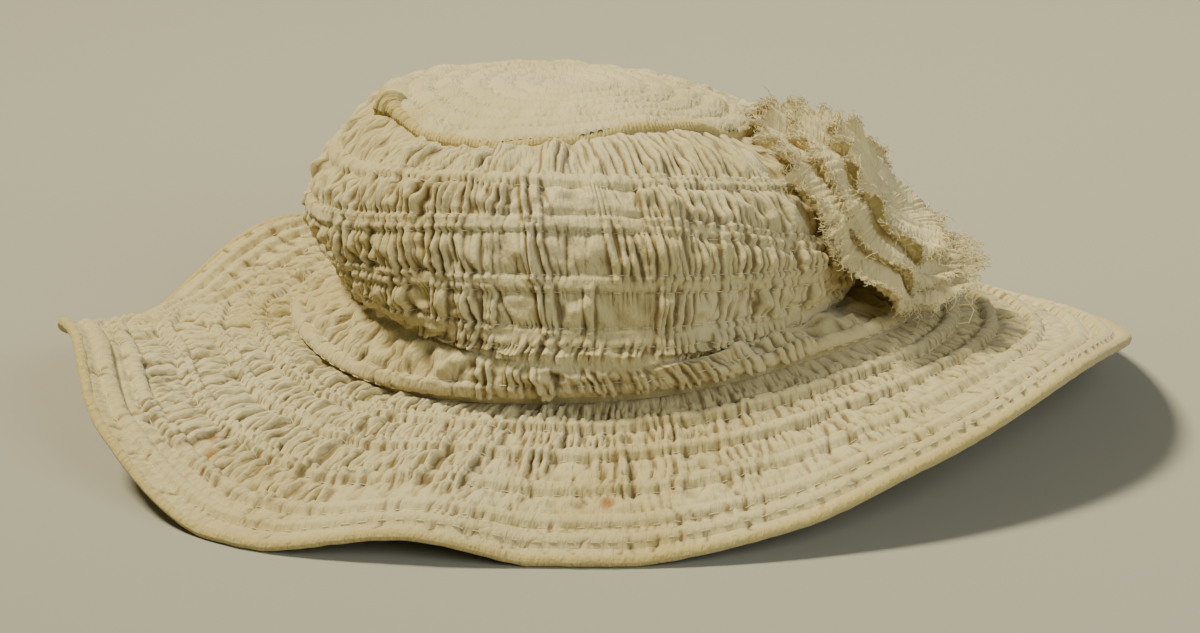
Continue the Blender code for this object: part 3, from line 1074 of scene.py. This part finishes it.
    def shade_stitch_dips(self, cloth: Cloth, rows: list[int]) -> None:
        """Paints shade on a cloth where the thread dips under it between two stitches.

        Args:
            cloth: The cloth.
            rows: Which of its rows carry stitches.
        """
        sewing = RunningStitch()
        for row in rows:
            along = np.cumsum(cloth.pace[row] * cloth.step)
            between = np.cos(TURN * along / (sewing.stitch + sewing.space) + row) > 0.1
            cloth.stitch_shade[row] = self.stitch_dip_shade * between

    def stitch(self, cloth: Cloth, rows: list[int], name: str) -> None:
        """Sews rows of running stitch on a cloth.

        Args:
            cloth: The cloth.
            rows: Which of its rows carry stitches.
            name: The stitches' name.
        """
        raised = cloth.raised()
        sewing = RunningStitch()
        sewn = [sewing.row(raised[row], cloth.normal[row], self.seed + row) for row in rows]
        lines = np.concatenate([lines for lines, _ in sewn])
        ups = np.concatenate([ups for _, ups in sewn])
        thick = sewing.radius * np.array(sewing.thread)
        self.wardrobe.dress(tubes(name, lines, ups, thick, 4), self.wardrobe.thread, Slot.CREAM)


@dataclass
class CrownSide(GatheredCloth):
    """The crown's side: one gathered cloth on five cords, tucked in over the brim."""

    columns: int = 1000
    rough_relief: float = 0.00085
    rib_wander: float = 0.06
    low_billow: float = 0.0030
    seam_fade: float = 0.0025
    tuck_calm: float = 0.92
    tuck_spread: float = 0.34

    def runs(self) -> list[FoldRun]:
        """Gathers the groups of folds all round the crown.

        Returns:
            Those that the near side shows, and others that are drawn at random.
        """
        draw = np.random.default_rng(self.seed + 1)
        runs = list(CROWN_RUNS)
        # Drawn folds, so many from each tier up, and few where the photo shows which there are.
        for tier, count in ((1, 34), (2, 40), (3, 24), (4, 24), (5, 30), (6, 50)):
            for _ in range(count):
                first = tier + draw.uniform(-0.05, 0.1)
                last = min(first + draw.choice([0.3, 0.5, 0.9, 1.0, 1.9]), 6.95)
                angle = draw.uniform(0, 360)
                near = math.exp(-(((angle - 270) / 50) ** 2))
                if near > draw.uniform(0.2, 1.6):
                    continue
                lean = 0.35 * math.exp(-(((angle - 230) / 25) ** 2)) * (tier > 3)
                folds = int(draw.integers(1, 4))
                depth = draw.uniform(0.4, 1.0) * (1 - 0.4 * near)
                runs.append(FoldRun(angle, first, last, folds, depth, lean + draw.normal(0, 0.12)))
        # The crown's shoulders on the right and left of the near side are the most drawn up.
        for middle, spread, lean, count in ((305, 13, 0.0, 36), (224, 12, 0.35, 44)):
            for _ in range(count):
                first = int(draw.integers(3, 6)) + draw.uniform(-0.05, 0.1)
                last = first + draw.choice([0.9, 1.0, 1.9])
                depth = draw.uniform(1.0, 1.6)
                angle = draw.normal(middle, spread)
                folds = int(draw.integers(1, 4))
                runs.append(FoldRun(angle, first, last, folds, depth, lean + draw.normal(0, 0.1)))
        return runs

    def cloth(self) -> tuple[Cloth, list[int]]:
        """Builds the outer face.

        Returns:
            The cloth, and the rows that carry stitches.
        """
        theta = around_ring(self.columns, self.lean)
        sizes = self.form.sizes
        relief = Relief(sizes)
        tiers = TierRows(relief, 0.0030)
        points, across = [], []
        so_far = np.zeros(self.columns)
        for index, tier in enumerate(CROWN_TIERS):
            start, end = CROWN_RINGS[index], CROWN_RINGS[index + 1]
            length = np.linalg.norm(self.form.ring(end, theta) - self.form.ring(start, theta), axis=1)
            last = index == len(CROWN_TIERS) - 1
            reach = length - sizes.piping_radius * 0.3 if last else length
            rows = self.tier_rows(reach, tier.rows, end.corded)
            if last:
                rows = np.concatenate([rows, reach[None]])
            if not start.corded:
                rows = rows[[0, *range(len(self.close_rows), len(rows))]]
            points.append(self.form.crown(index, rows / length, theta))
            across.append(so_far + rows)
            tiers.add(tier, rows, length, (start.corded, end.corded))
            so_far = so_far + length
        cloth = Cloth(theta, np.concatenate(points), np.concatenate(across), Facing.OUTWARD)
        where = np.concatenate(tiers.place)
        fine = Ripples(self.seed + 2, 110, 260, 3.0).at(theta, where)
        patchy = np.clip(0.25 + 0.7 * Ripples(self.seed + 5, 4, 30, 3.0).at(theta, where), 0, 1.3)
        rough = Ripples(self.seed + 3, 14, 66, 8.0, 40).at(theta, where)
        wander = Ripples(self.seed + 4, 3, 30, 0.0).at(theta, where)
        bulge = Wave("tuck", 280, self.low_billow, 48).at(theta, 4)
        billow = bulge * np.clip(1 - (where - 2) ** 2, 0, 1)
        open_cloth = 1 - self.tuck_calm * np.exp(-(((where - 2) / self.tuck_spread) ** 2))
        ribs = np.concatenate(tiers.ribs) * (1 + self.rib_wander * wander)
        cloth.relief += ribs + np.concatenate(tiers.puffs) + billow
        puckers = self.fine_relief * np.abs(fine) * patchy * np.concatenate(tiers.puckers)
        cloth.relief += puckers * open_cloth
        cloth.relief += self.rough_relief * rough * np.concatenate(tiers.crumples) * open_cloth
        rows = where.mean(axis=1)
        self.lay_folds(cloth, rows, relief, self.runs())
        self.lay_creases(cloth, rows, relief, (10, 130, 70, 60, 60, 64, 90))
        by_seam = np.clip((cloth.across[-1] - cloth.across) / self.seam_fade, 0, 1)
        for raised in (cloth.relief, cloth.folds, cloth.creases):
            raised *= by_seam
        cloth.folds *= open_cloth
        cloth.creases *= open_cloth
        return cloth, tiers.stitched

    def build(self) -> None:
        """Makes the outer face, the plain inner face and the stitches."""
        cloth, stitched = self.cloth()
        self.shade_stitch_dips(cloth, stitched)
        outer = self.wardrobe.dress(cloth.mesh("crown_side_gathered"), self.wardrobe.cream, Slot.CREAM)
        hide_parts("crown_side")
        theta = around_ring(240)
        share = np.linspace(0, 1, 5)[:-1, None] + 0 * theta
        points = np.concatenate([self.form.crown(i, share, theta) for i in range(len(CROWN_TIERS))])
        steps = np.linalg.norm(np.diff(points, axis=0, prepend=points[:1]), axis=-1)
        inside = Cloth(theta, points, np.cumsum(steps, axis=0), Facing.OUTWARD)
        inside.relief -= self.form.sizes.crown_wall
        inner = self.wardrobe.dress(inside.mesh("crown_side_inside"), self.wardrobe.cream, Slot.CREAM)
        self.stitch(cloth, stitched, "crown_stitches")


@dataclass
class Brim(GatheredCloth):
    """The brim: a cloth on rows of cord, tightly gathered by the crown and flatter to its edge."""

    inner_tiers: int = 3
    inner_rib: float = 1.25
    edge_inset: float = 0.1
    under_rib: float = 0.0006
    under_ripple: float = 0.0004
    under_clear: float = 0.0008
    binding_share: float = 0.88
    binding_cover: float = 0.82
    binding_ripple: float = 0.018

    def runs(self) -> list[FoldRun]:
        """Draws the groups of radial folds.

        Returns:
            The groups, closest on the left and near sides of the crown.
        """
        draw = np.random.default_rng(self.seed + 5)
        runs = []
        for tier, count in ((0, 90), (1, 80), (2, 60), (3, 24), (4, 10)):
            inner = tier < self.inner_tiers
            for _ in range(count):
                first = tier + draw.uniform(-0.1, 0.3)
                span = draw.choice([0.5, 0.9, 1.2, 1.9, 2.6] if inner else [0.2, 0.35, 0.6])
                angle = draw.uniform(0, 360)
                left = math.exp(-(((angle - 222) / 32) ** 2))
                near = math.exp(-(((angle - 295) / 42) ** 4))
                if inner and near > draw.uniform(0.25, 2.6 - 0.7 * tier):
                    continue
                last = min(first + span, 3.4 if inner else 5.5)
                folds = int(draw.integers(1, 4))
                depth = draw.uniform(0.35, 0.9) * (0.7 + 0.6 * left)
                runs.append(FoldRun(angle, first, last, folds, depth, draw.normal(0.1 * left, 0.2)))
        # The left front has denser and deeper folds, close to the crown and then farther out.
        for count, place, starts, spans, end, depths in (
            (84, (220, 22), (0, 1.6), (0.8, 2.4), 3.3, (1.2, 1.8)),
            (44, (204, 15), (1.8, 3.4), (0.5, 1.3), len(BRIM_TIERS), (1.0, 1.5)),
        ):
            for _ in range(count):
                angle = draw.normal(*place)
                first = draw.uniform(*starts)
                last = min(first + draw.uniform(*spans), end)
                folds = int(draw.integers(2, 5))
                runs.append(FoldRun(angle, first, last, folds, draw.uniform(*depths), 0.1))
        # A few short folds reach over the third and fourth cords there.
        for _ in range(16):
            first = draw.uniform(3.0, 3.3)
            last = first + draw.uniform(0.4, 0.7)
            angle = draw.normal(222, 14)
            folds = int(draw.integers(2, 5))
            runs.append(FoldRun(angle, first, last, folds, draw.uniform(0.7, 1.0), 0.2))
        return runs

    def spread(self, theta: np.ndarray) -> tuple[np.ndarray, np.ndarray]:
        """Measures the brim.

        Args:
            theta: Angles to measure it at.

        Returns:
            Its width seen from above, and the share of it at which its cloth ends, for each angle.
        """
        across = self.form.binding(theta) - self.form.ring(CROWN_RINGS[0], theta)
        width = np.linalg.norm(across[:, :2], axis=1)
        return width, 1 - self.form.sizes.binding_radius * self.edge_inset / width

    def cloth(self) -> tuple[Cloth, list[int]]:
        """Builds the upper face.

        Returns:
            The cloth, and the rows that carry stitches.
        """
        theta = around_ring(self.columns, self.lean)
        sizes = self.form.sizes
        width, end = self.spread(theta)
        relief = Relief(sizes)
        tiers = TierRows(relief, 0.0035)
        bounds = [np.zeros(self.columns), *[np.full(self.columns, cord) for cord in BRIM_CORDS], end]
        margin = np.stack([-sizes.crown_wall / width, -0.5 * sizes.crown_wall / width])
        tiers.add_flat(margin)
        shares = [margin]
        for index, tier in enumerate(BRIM_TIERS):
            low, high = bounds[index], bounds[index + 1]
            length = (high - low) * width
            last = index == len(BRIM_TIERS) - 1
            rows = self.tier_rows(length, tier.rows, not last)
            if last:
                rows = np.concatenate([rows, length[None]])
            if index == 0:
                rows = rows[[0, *range(len(self.close_rows) - 1, len(rows))]]
            shares.append(low + (high - low) * (rows / length))
            rib = self.inner_rib if index < self.inner_tiers else 1.0
            tiers.add(tier, rows, length, (index > 0, not last), rib)
        share = np.concatenate(shares)
        cloth = Cloth(theta, self.form.brim(share, theta), share * width, Facing.UPWARD)
        where = np.concatenate(tiers.place)
        fine = Ripples(self.seed + 6, 120, 280, 3.0).at(theta, where)
        patchy = np.clip(0.55 + 0.6 * Ripples(self.seed + 5, 6, 40, 3.0).at(theta, where), 0, 1.3)
        rough = Ripples(self.seed + 7, 20, 120, 8.0, 40).at(theta, where)
        cloth.relief += np.concatenate(tiers.ribs) + np.concatenate(tiers.puffs)
        cloth.relief += self.fine_relief * np.abs(fine) * patchy * np.concatenate(tiers.puckers)
        cloth.relief += self.rough_relief * rough * np.concatenate(tiers.crumples)
        rows = where.mean(axis=1)
        self.lay_folds(cloth, rows, relief, self.runs())
        self.lay_creases(cloth, rows, relief, (260, 220, 180, 120, 100, 80))
        return cloth, tiers.stitched

    def build(self) -> None:
        """Makes the upper face, the under face, the binding and the stitches."""
        cloth, stitched = self.cloth()
        self.shade_stitch_dips(cloth, stitched[:-1])
        age = np.clip((cloth.across / cloth.across[-1] - 0.8) * 3, 0, 1) * 0.6
        upper = self.wardrobe.dress(cloth.mesh("brim_gathered", age), self.wardrobe.cream, Slot.CREAM)
        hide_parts("brim")
        self.stitch(cloth, stitched, "brim_stitches")
        self.build_under()
        self.build_binding()

    def build_under(self) -> None:
        """Makes the brim's under face, where the cords show as low ribs."""
        theta = around_ring(360)
        sizes = self.form.sizes
        width, end = self.spread(theta)
        share = np.linspace(-sizes.crown_wall / width, end, 72)
        points = self.form.brim(share, theta)
        cloth = Cloth(theta, points, share * width, Facing.UPWARD)
        ribs = np.zeros(share.shape)
        for cord in BRIM_CORDS:
            ribs += np.exp(-(((share - cord) * width / sizes.cord_half_width) ** 2))
        ripples = Ripples(self.seed + 8, 60, 120, 3.0).at(theta, share)
        cloth.relief -= sizes.brim_wall + self.under_rib * ribs
        cloth.relief += self.under_ripple * ripples * (1 - share)
        cloth.points[..., 2] = np.maximum(cloth.points[..., 2], sizes.brim_wall + self.under_clear)
        under = self.wardrobe.dress(cloth.mesh("brim_under"), self.wardrobe.cream, Slot.CREAM)

    def build_binding(self) -> None:
        """Makes the corded binding round the edge, pressed flat where it rests."""
        theta = around_ring(self.columns)
        line = self.form.binding(theta)
        out = self.form.level_out(line)
        radius = self.form.sizes.binding_radius
        spin = around_ring(12)[:, None] + 0 * theta
        twist = Ripples(self.seed + 9, 60, 200, 1.0).at(theta, spin)
        thick = radius * (self.binding_cover + self.binding_ripple * twist)
        line = line - np.array([0, 0, radius * (1 - self.binding_share)])
        cloth = corded(theta, line, out, thick, radius, lowest=0.0)
        age = np.full(cloth.across.shape, 0.5)
        binding = self.wardrobe.dress(cloth.mesh("brim_binding_rolled", age), self.wardrobe.aged, Slot.AGED)
        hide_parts("brim_binding")


@dataclass
class CrownTip(GatheredCloth):
    """The oval tip, quilted in rows of running stitch, and the covered cord round it."""

    rings: int = 78
    quilt_rows: int = 7
    quilt_relief: float = 0.0017
    fine_relief: float = 0.00030
    rough_relief: float = 0.00040
    settle: float = 0.003
    lift: float = 0.001
    overlap: float = 0.5
    cover: float = 0.90
    cover_pleat: float = 0.06
    cover_lump: float = 0.04
    wander: float = 0.0006
    knot_angle: float = 197.0
    knot_length: float = 0.075
    knot_swell: float = 0.9
    knot_pleat: float = 0.35
    knot_lump: float = 0.25

    def build(self) -> None:
        """Makes the tip and its piping."""
        theta = around_ring(500)
        sizes = self.form.sizes
        seam = self.form.tip_seam(theta)
        edge = seam + self.form.level_out(seam) * sizes.piping_radius * self.overlap
        middle = seam.mean(axis=0)
        share = np.linspace(0.002, 1, self.rings)[:, None] + 0 * theta
        points = middle + (edge - middle) * share[..., None]
        level = edge[:, 2] * share**2 + middle[2] * (1 - share**2)
        points[..., 2] = level + (sizes.tip_rise - self.settle) * (1 - share**2.4) + self.lift
        reach = np.linalg.norm((edge - middle)[:, :2], axis=1)
        cloth = Cloth(theta, points, share * reach, Facing.UPWARD, cut_flat=True)
        quilt = np.abs(np.sin(math.pi * self.quilt_rows * share)) ** 0.6
        fine = Ripples(self.seed + 10, 70, 150, 8.0).at(theta, share)
        rough = Ripples(self.seed + 11, 4, 26, 12.0, 36).at(theta, share)
        # The middle, where the rows close up, lies smooth. Elsewhere puckers gather along the stitches.
        off_middle = np.clip(share * 3 - 1.2, 0, 1)
        cloth.relief += self.quilt_relief * quilt * np.clip(share * 4, 0, 1)
        cloth.relief += self.fine_relief * fine * np.exp(-quilt / 0.3) * off_middle
        cloth.relief += self.rough_relief * rough * off_middle
        last = self.rings - 1
        rows = [int(round(row / self.quilt_rows * last)) for row in range(1, self.quilt_rows)]
        self.shade_stitch_dips(cloth, rows)
        tip = self.wardrobe.dress(cloth.mesh("crown_tip_quilted"), self.wardrobe.cream, Slot.CREAM)
        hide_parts("crown_tip")
        self.stitch(cloth, rows, "tip_stitches")
        self.build_piping()

    def build_piping(self) -> None:
        """Makes the covered cord: its cover lies in fine pleats, bunched where its ends meet."""
        theta = around_ring(1500)
        line = self.form.tip_seam(theta)
        out = self.form.level_out(line)
        radius = self.form.sizes.piping_radius
        spin = around_ring(14)[:, None] + 0 * theta
        pleats = Ripples(self.seed + 12, 220, 400, 0.5).at(theta, spin)
        wander = Ripples(self.seed + 13, 2, 14, 0.0).at(theta, spin)
        lumps = Ripples(self.seed + 14, 20, 80, 0.5).at(theta, spin)
        away = (theta - math.radians(self.knot_angle)) / self.knot_length
        knot = self.knot_swell + self.knot_pleat * pleats + self.knot_lump * lumps
        thick = radius * (self.cover + self.cover_pleat * pleats + self.cover_lump * lumps)
        thick = thick * (1 + np.exp(-(away**2)) * knot)
        line = line + np.array([0, 0, self.wander]) * wander[0][:, None]
        cloth = corded(theta, line, out, thick, radius, lowest=-math.inf)
        age = np.full(cloth.across.shape, 0.5)
        piping = self.wardrobe.dress(cloth.mesh("tip_piping_pleated", age), self.wardrobe.aged, Slot.AGED)
        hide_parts("tip_piping")


@dataclass(frozen=True)
class Frill:
    """A frill of the rosette: its part of the radius, and the lift of its rim as a share of it."""

    name: str
    reach: float
    rim: float


@dataclass
class Rosette:
    """Gathered frills of muslin with ravelled edges, one on the other on the crown's end."""

    form: HatForm
    wardrobe: Wardrobe
    columns: int = 720
    rows: int = 44
    seed: int = 40
    half: float = 0.048
    hole: float = 0.03
    middle: tuple[float, float, float] = (0.0855, -0.0160, 0.0623)
    slope: float = 40
    turn: float = -6
    squeeze: float = 0.27
    lobe: float = 0.05
    droop: float = 0.0110
    bend_start: float = 0.0230
    bend: float = 0.90
    tuck_start: float = 0.0220
    tuck: float = 0.45
    ruffle: float = 0.0044
    ruffles: int = 10
    flounce: float = 0.0100
    flounce_rise: float = 0.0058
    crumple: float = 0.0004
    gap: float = 0.0015
    clear: float = 0.0004
    foot: float = 0.0005
    torn: float = 0.011
    fullness: float = 1.35
    threads: int = 1900
    thread_radius: float = 0.00012
    thread_length: tuple[float, float] = (3.0, 0.00040)
    thread_depths: tuple[int, ...] = (1, 1, 1, 2, 2, 3)
    thread_taper: tuple[float, ...] = (1.0, 1.0, 1.0, 1.0, 0.9, 0.6)
    frills: tuple[Frill, ...] = (
        Frill("rosette_frill_outer", 1.00, 0.00),
        Frill("rosette_frill_middle", 0.83, 0.06),
        Frill("rosette_frill_inner", 0.62, 0.24),
    )

    def placed(self, local: np.ndarray) -> np.ndarray:
        """Moves points from the rosette's own axes to the frame.

        Args:
            local: Points with Z along the rosette's axis and X down the slope.

        Returns:
            The points in the frame.
        """
        tilt, turn = math.radians(90 - self.slope), math.radians(self.turn)
        c, s = math.cos(tilt), math.sin(tilt)
        slant = np.array([[c, 0, s], [0, 1, 0], [-s, 0, c]])
        c, s = math.cos(turn), math.sin(turn)
        spin = np.array([[c, -s, 0], [s, c, 0], [0, 0, 1]])
        return local @ (spin @ slant).T + np.array(self.middle)

    def heights(self, frill: Frill, share: np.ndarray, theta: np.ndarray, index: int) -> np.ndarray:
        """Gives how far a frill's ruffles rise over the rosette's bent plane.

        Args:
            frill: The frill.
            share: Share of the rosette's radius, for each row and column.
            theta: Angles of the columns.
            index: The frill's place from the crown out.

        Returns:
            The rise for each row and column.
        """
        base = self.ruffle / 2 * (1 + np.cos(self.ruffles * theta)) + self.half * frill.rim
        down = share * np.cos(theta)
        side = share * np.sin(theta) * self.half / self.flounce
        stray = 0.45 * np.sin(3 * down + 2 * index) + 0.10 * np.sin(7 * down + side + index)
        flounces = np.abs(np.sin(math.pi * (side + stray) + index)) ** 0.7 * self.flounce_rise
        crumple = np.abs(Ripples(self.seed + index, 14, 60, 9.0, 36).at(theta, share)) * self.crumple
        out = np.clip(share / frill.reach, 0, 1)
        return base * share**2 + (flounces + crumple) * out**0.3

    def build(self) -> None:
        """Makes each frill and the loose threads along its edge."""
        theta = around_ring(self.columns)
        below = None
        for index, frill in enumerate(self.frills):
            rows = np.linspace(self.hole, frill.reach, int(self.rows * frill.reach) + 1)
            share = rows[:, None] + 0 * theta
            rise = self.heights(frill, share, theta, index) + index * self.gap
            if below is not None:
                lower = [np.interp(rows, below[0], column) for column in below[1].T]
                rise = np.maximum(rise, np.stack(lower, -1) + self.clear)
            below = (rows, rise)
            ragged = Ripples(self.seed + 20 + index, 20, 160, 0.0, 40).at(theta, share)
            torn = 1 + self.torn * ragged * np.clip((share / frill.reach - 0.7) / 0.3, 0, 1)
            lobe = 1 - self.lobe * (1 + np.cos(3 * theta)) / 2
            outline = lobe * (1 - self.squeeze * np.maximum(np.cos(theta), 0) ** 2)
            radius = self.half * share * torn * outline
            down, side = radius * np.cos(theta), radius * np.sin(theta)
            bend = self.bend * np.maximum(down - self.bend_start, 0)
            droop = self.droop * (side / self.half) ** 2
            droop = droop + self.tuck * np.maximum(-down - self.tuck_start, 0)
            local = np.stack([down, side, bend - droop + rise + self.foot], -1)
            cloth = Cloth(theta, self.placed(local), share * self.half, Facing.UPWARD, cut_flat=True)
            age = np.clip((share / frill.reach - 0.75) * 4, 0, 1) * 0.6
            obj = cloth.mesh(frill.name + "_ruffled", age)
            self.wardrobe.dress(obj, self.wardrobe.muslin, Slot.MUSLIN)
            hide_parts(frill.name)
            # The strip is four times as long as it is wide.
            self.fray(cloth, frill, index)

    def fray(self, cloth: Cloth, frill: Frill, index: int) -> None:
        """Makes the loose threads along a frill's edge.

        Args:
            cloth: The frill.
            frill: Its sizes.
            index: Its place from the crown out.
        """
        draw = np.random.default_rng(self.seed + 60 + index)
        count = int(self.threads * frill.reach)
        chosen = draw.integers(0, self.columns, count)
        deep = draw.choice(self.thread_depths, count)
        points = cloth.raised()
        root = points[-deep, chosen]
        out = unit(points[-1, chosen] - points[-4, chosen])
        ups = cloth.normal[-1, chosen]
        side = np.cross(out, ups)
        length = draw.gamma(*self.thread_length, count)[:, None, None]
        steps = np.linspace(0, 1, len(self.thread_taper))[None, :, None]
        lean = draw.normal(0, 0.7, (count, 1, 1))
        loop = draw.normal(0, 0.45, (count, 1, 1))
        turns = draw.uniform(1.5, 4.5, (count, 1, 1))
        rise = draw.normal(0.1, 0.4, (count, 1, 1))
        lines = root[:, None] + length * (
            out[:, None] * (steps + loop * np.sin(turns * steps * 2))
            + side[:, None] * (lean * steps + loop * (1 - np.cos(turns * steps * 2)))
            + ups[:, None] * (rise * steps + 0.3 * loop * np.sin(turns * steps * 3))
        )
        normals = np.repeat(ups[:, None], len(self.thread_taper), axis=1)
        thick = np.array(self.thread_taper) * self.thread_radius
        threads = tubes(frill.name + "_threads", lines, normals, thick, 3)
        self.wardrobe.dress(threads, self.wardrobe.muslin, Slot.MUSLIN)


@dataclass(frozen=True)
class Lamp:
    """A square softbox: where it hangs and looks, its side, its beam in degrees, watts and colour."""

    name: str
    place: tuple[float, float, float]
    aim: tuple[float, float, float]
    size: float
    spread: float
    power: float
    tint: str

    def build(self) -> None:
        """Adds the lamp."""
        data = bpy.data.lights.new(self.name, "AREA")
        data.size = self.size
        data.energy = self.power
        data.color = linear(self.tint)[:3]
        data.spread = math.radians(self.spread)
        lamp = bpy.data.objects.new(self.name, data)
        bpy.context.scene.collection.objects.link(lamp)
        lamp.location = self.place
        look = Vector(self.aim) - Vector(self.place)
        lamp.rotation_euler = look.to_track_quat("-Z", "Y").to_euler()


@dataclass(frozen=True)
class Studio:
    """A pale paper floor in soft light from the upper left, and the photographer's camera."""

    elevation: float = 19.0
    distance: float = 1.118
    target: tuple[float, float, float] = (0.0016, 0.0, 0.0237)
    lens: float = 105.0
    sensor: float = 36.0
    floor_half: float = 8.0
    floor_tint: str = "98988b"
    floor_roughness: float = 0.9
    floor_gloss: float = 0.1
    room_tint: str = "ecdfc0"
    room_strength: float = 0.21
    lamps: tuple[Lamp, ...] = (
        Lamp("key", (-1.25, 0.10, 2.20), (0.60, 0.50, 0.0), 0.48, 76.0, 29.5, "fff2d2"),
        Lamp("fill", (0.85, -1.3, 0.95), (0.1, 0.0, 0.03), 1.0, 100.0, 6.8, "ecf0f0"),
    )

    def build(self) -> None:
        """Makes the floor, the lamps and the camera."""
        square = np.array([[-1, -1, 0], [1, -1, 0], [1, 1, 0], [-1, 1, 0]])
        floor = mesh_object("floor", square * self.floor_half, np.array([[0, 1, 2, 3]]))
        paper = bpy.data.materials.new("backdrop_paper")
        paper.use_nodes = True
        shader = paper.node_tree.nodes["Principled BSDF"]
        shader.inputs["Base Color"].default_value = linear(self.floor_tint)
        shader.inputs["Roughness"].default_value = self.floor_roughness
        shader.inputs["Specular IOR Level"].default_value = self.floor_gloss
        floor.data.materials.append(paper)
        world = bpy.data.worlds.new("room")
        world.use_nodes = True
        world.node_tree.nodes["Background"].inputs["Color"].default_value = linear(self.room_tint)
        world.node_tree.nodes["Background"].inputs["Strength"].default_value = self.room_strength
        bpy.context.scene.world = world
        for lamp in self.lamps:
            lamp.build()
        angle = math.radians(self.elevation)
        data = bpy.data.cameras.new("camera")
        data.lens = self.lens
        data.sensor_width = self.sensor
        camera = bpy.data.objects.new("camera", data)
        bpy.context.scene.collection.objects.link(camera)
        away = Vector((0, -math.cos(angle), math.sin(angle))) * self.distance
        camera.location = Vector(self.target) + away
        camera.rotation_euler = (math.radians(90) - angle, 0, 0)
        bpy.context.scene.camera = camera


def main() -> None:
    """Builds the hat's sub-assemblies in order, then the studio."""
    logging.basicConfig(level=logging.INFO, format="%(message)s")
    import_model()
    form = HatForm()
    wardrobe = Wardrobe()
    Brim(form, wardrobe, seed=11).build()
    CrownSide(form, wardrobe, seed=23).build()
    CrownTip(form, wardrobe, seed=31).build()
    Rosette(form, wardrobe).build()
    Studio().build()


if __name__ == "__main__":
    main()
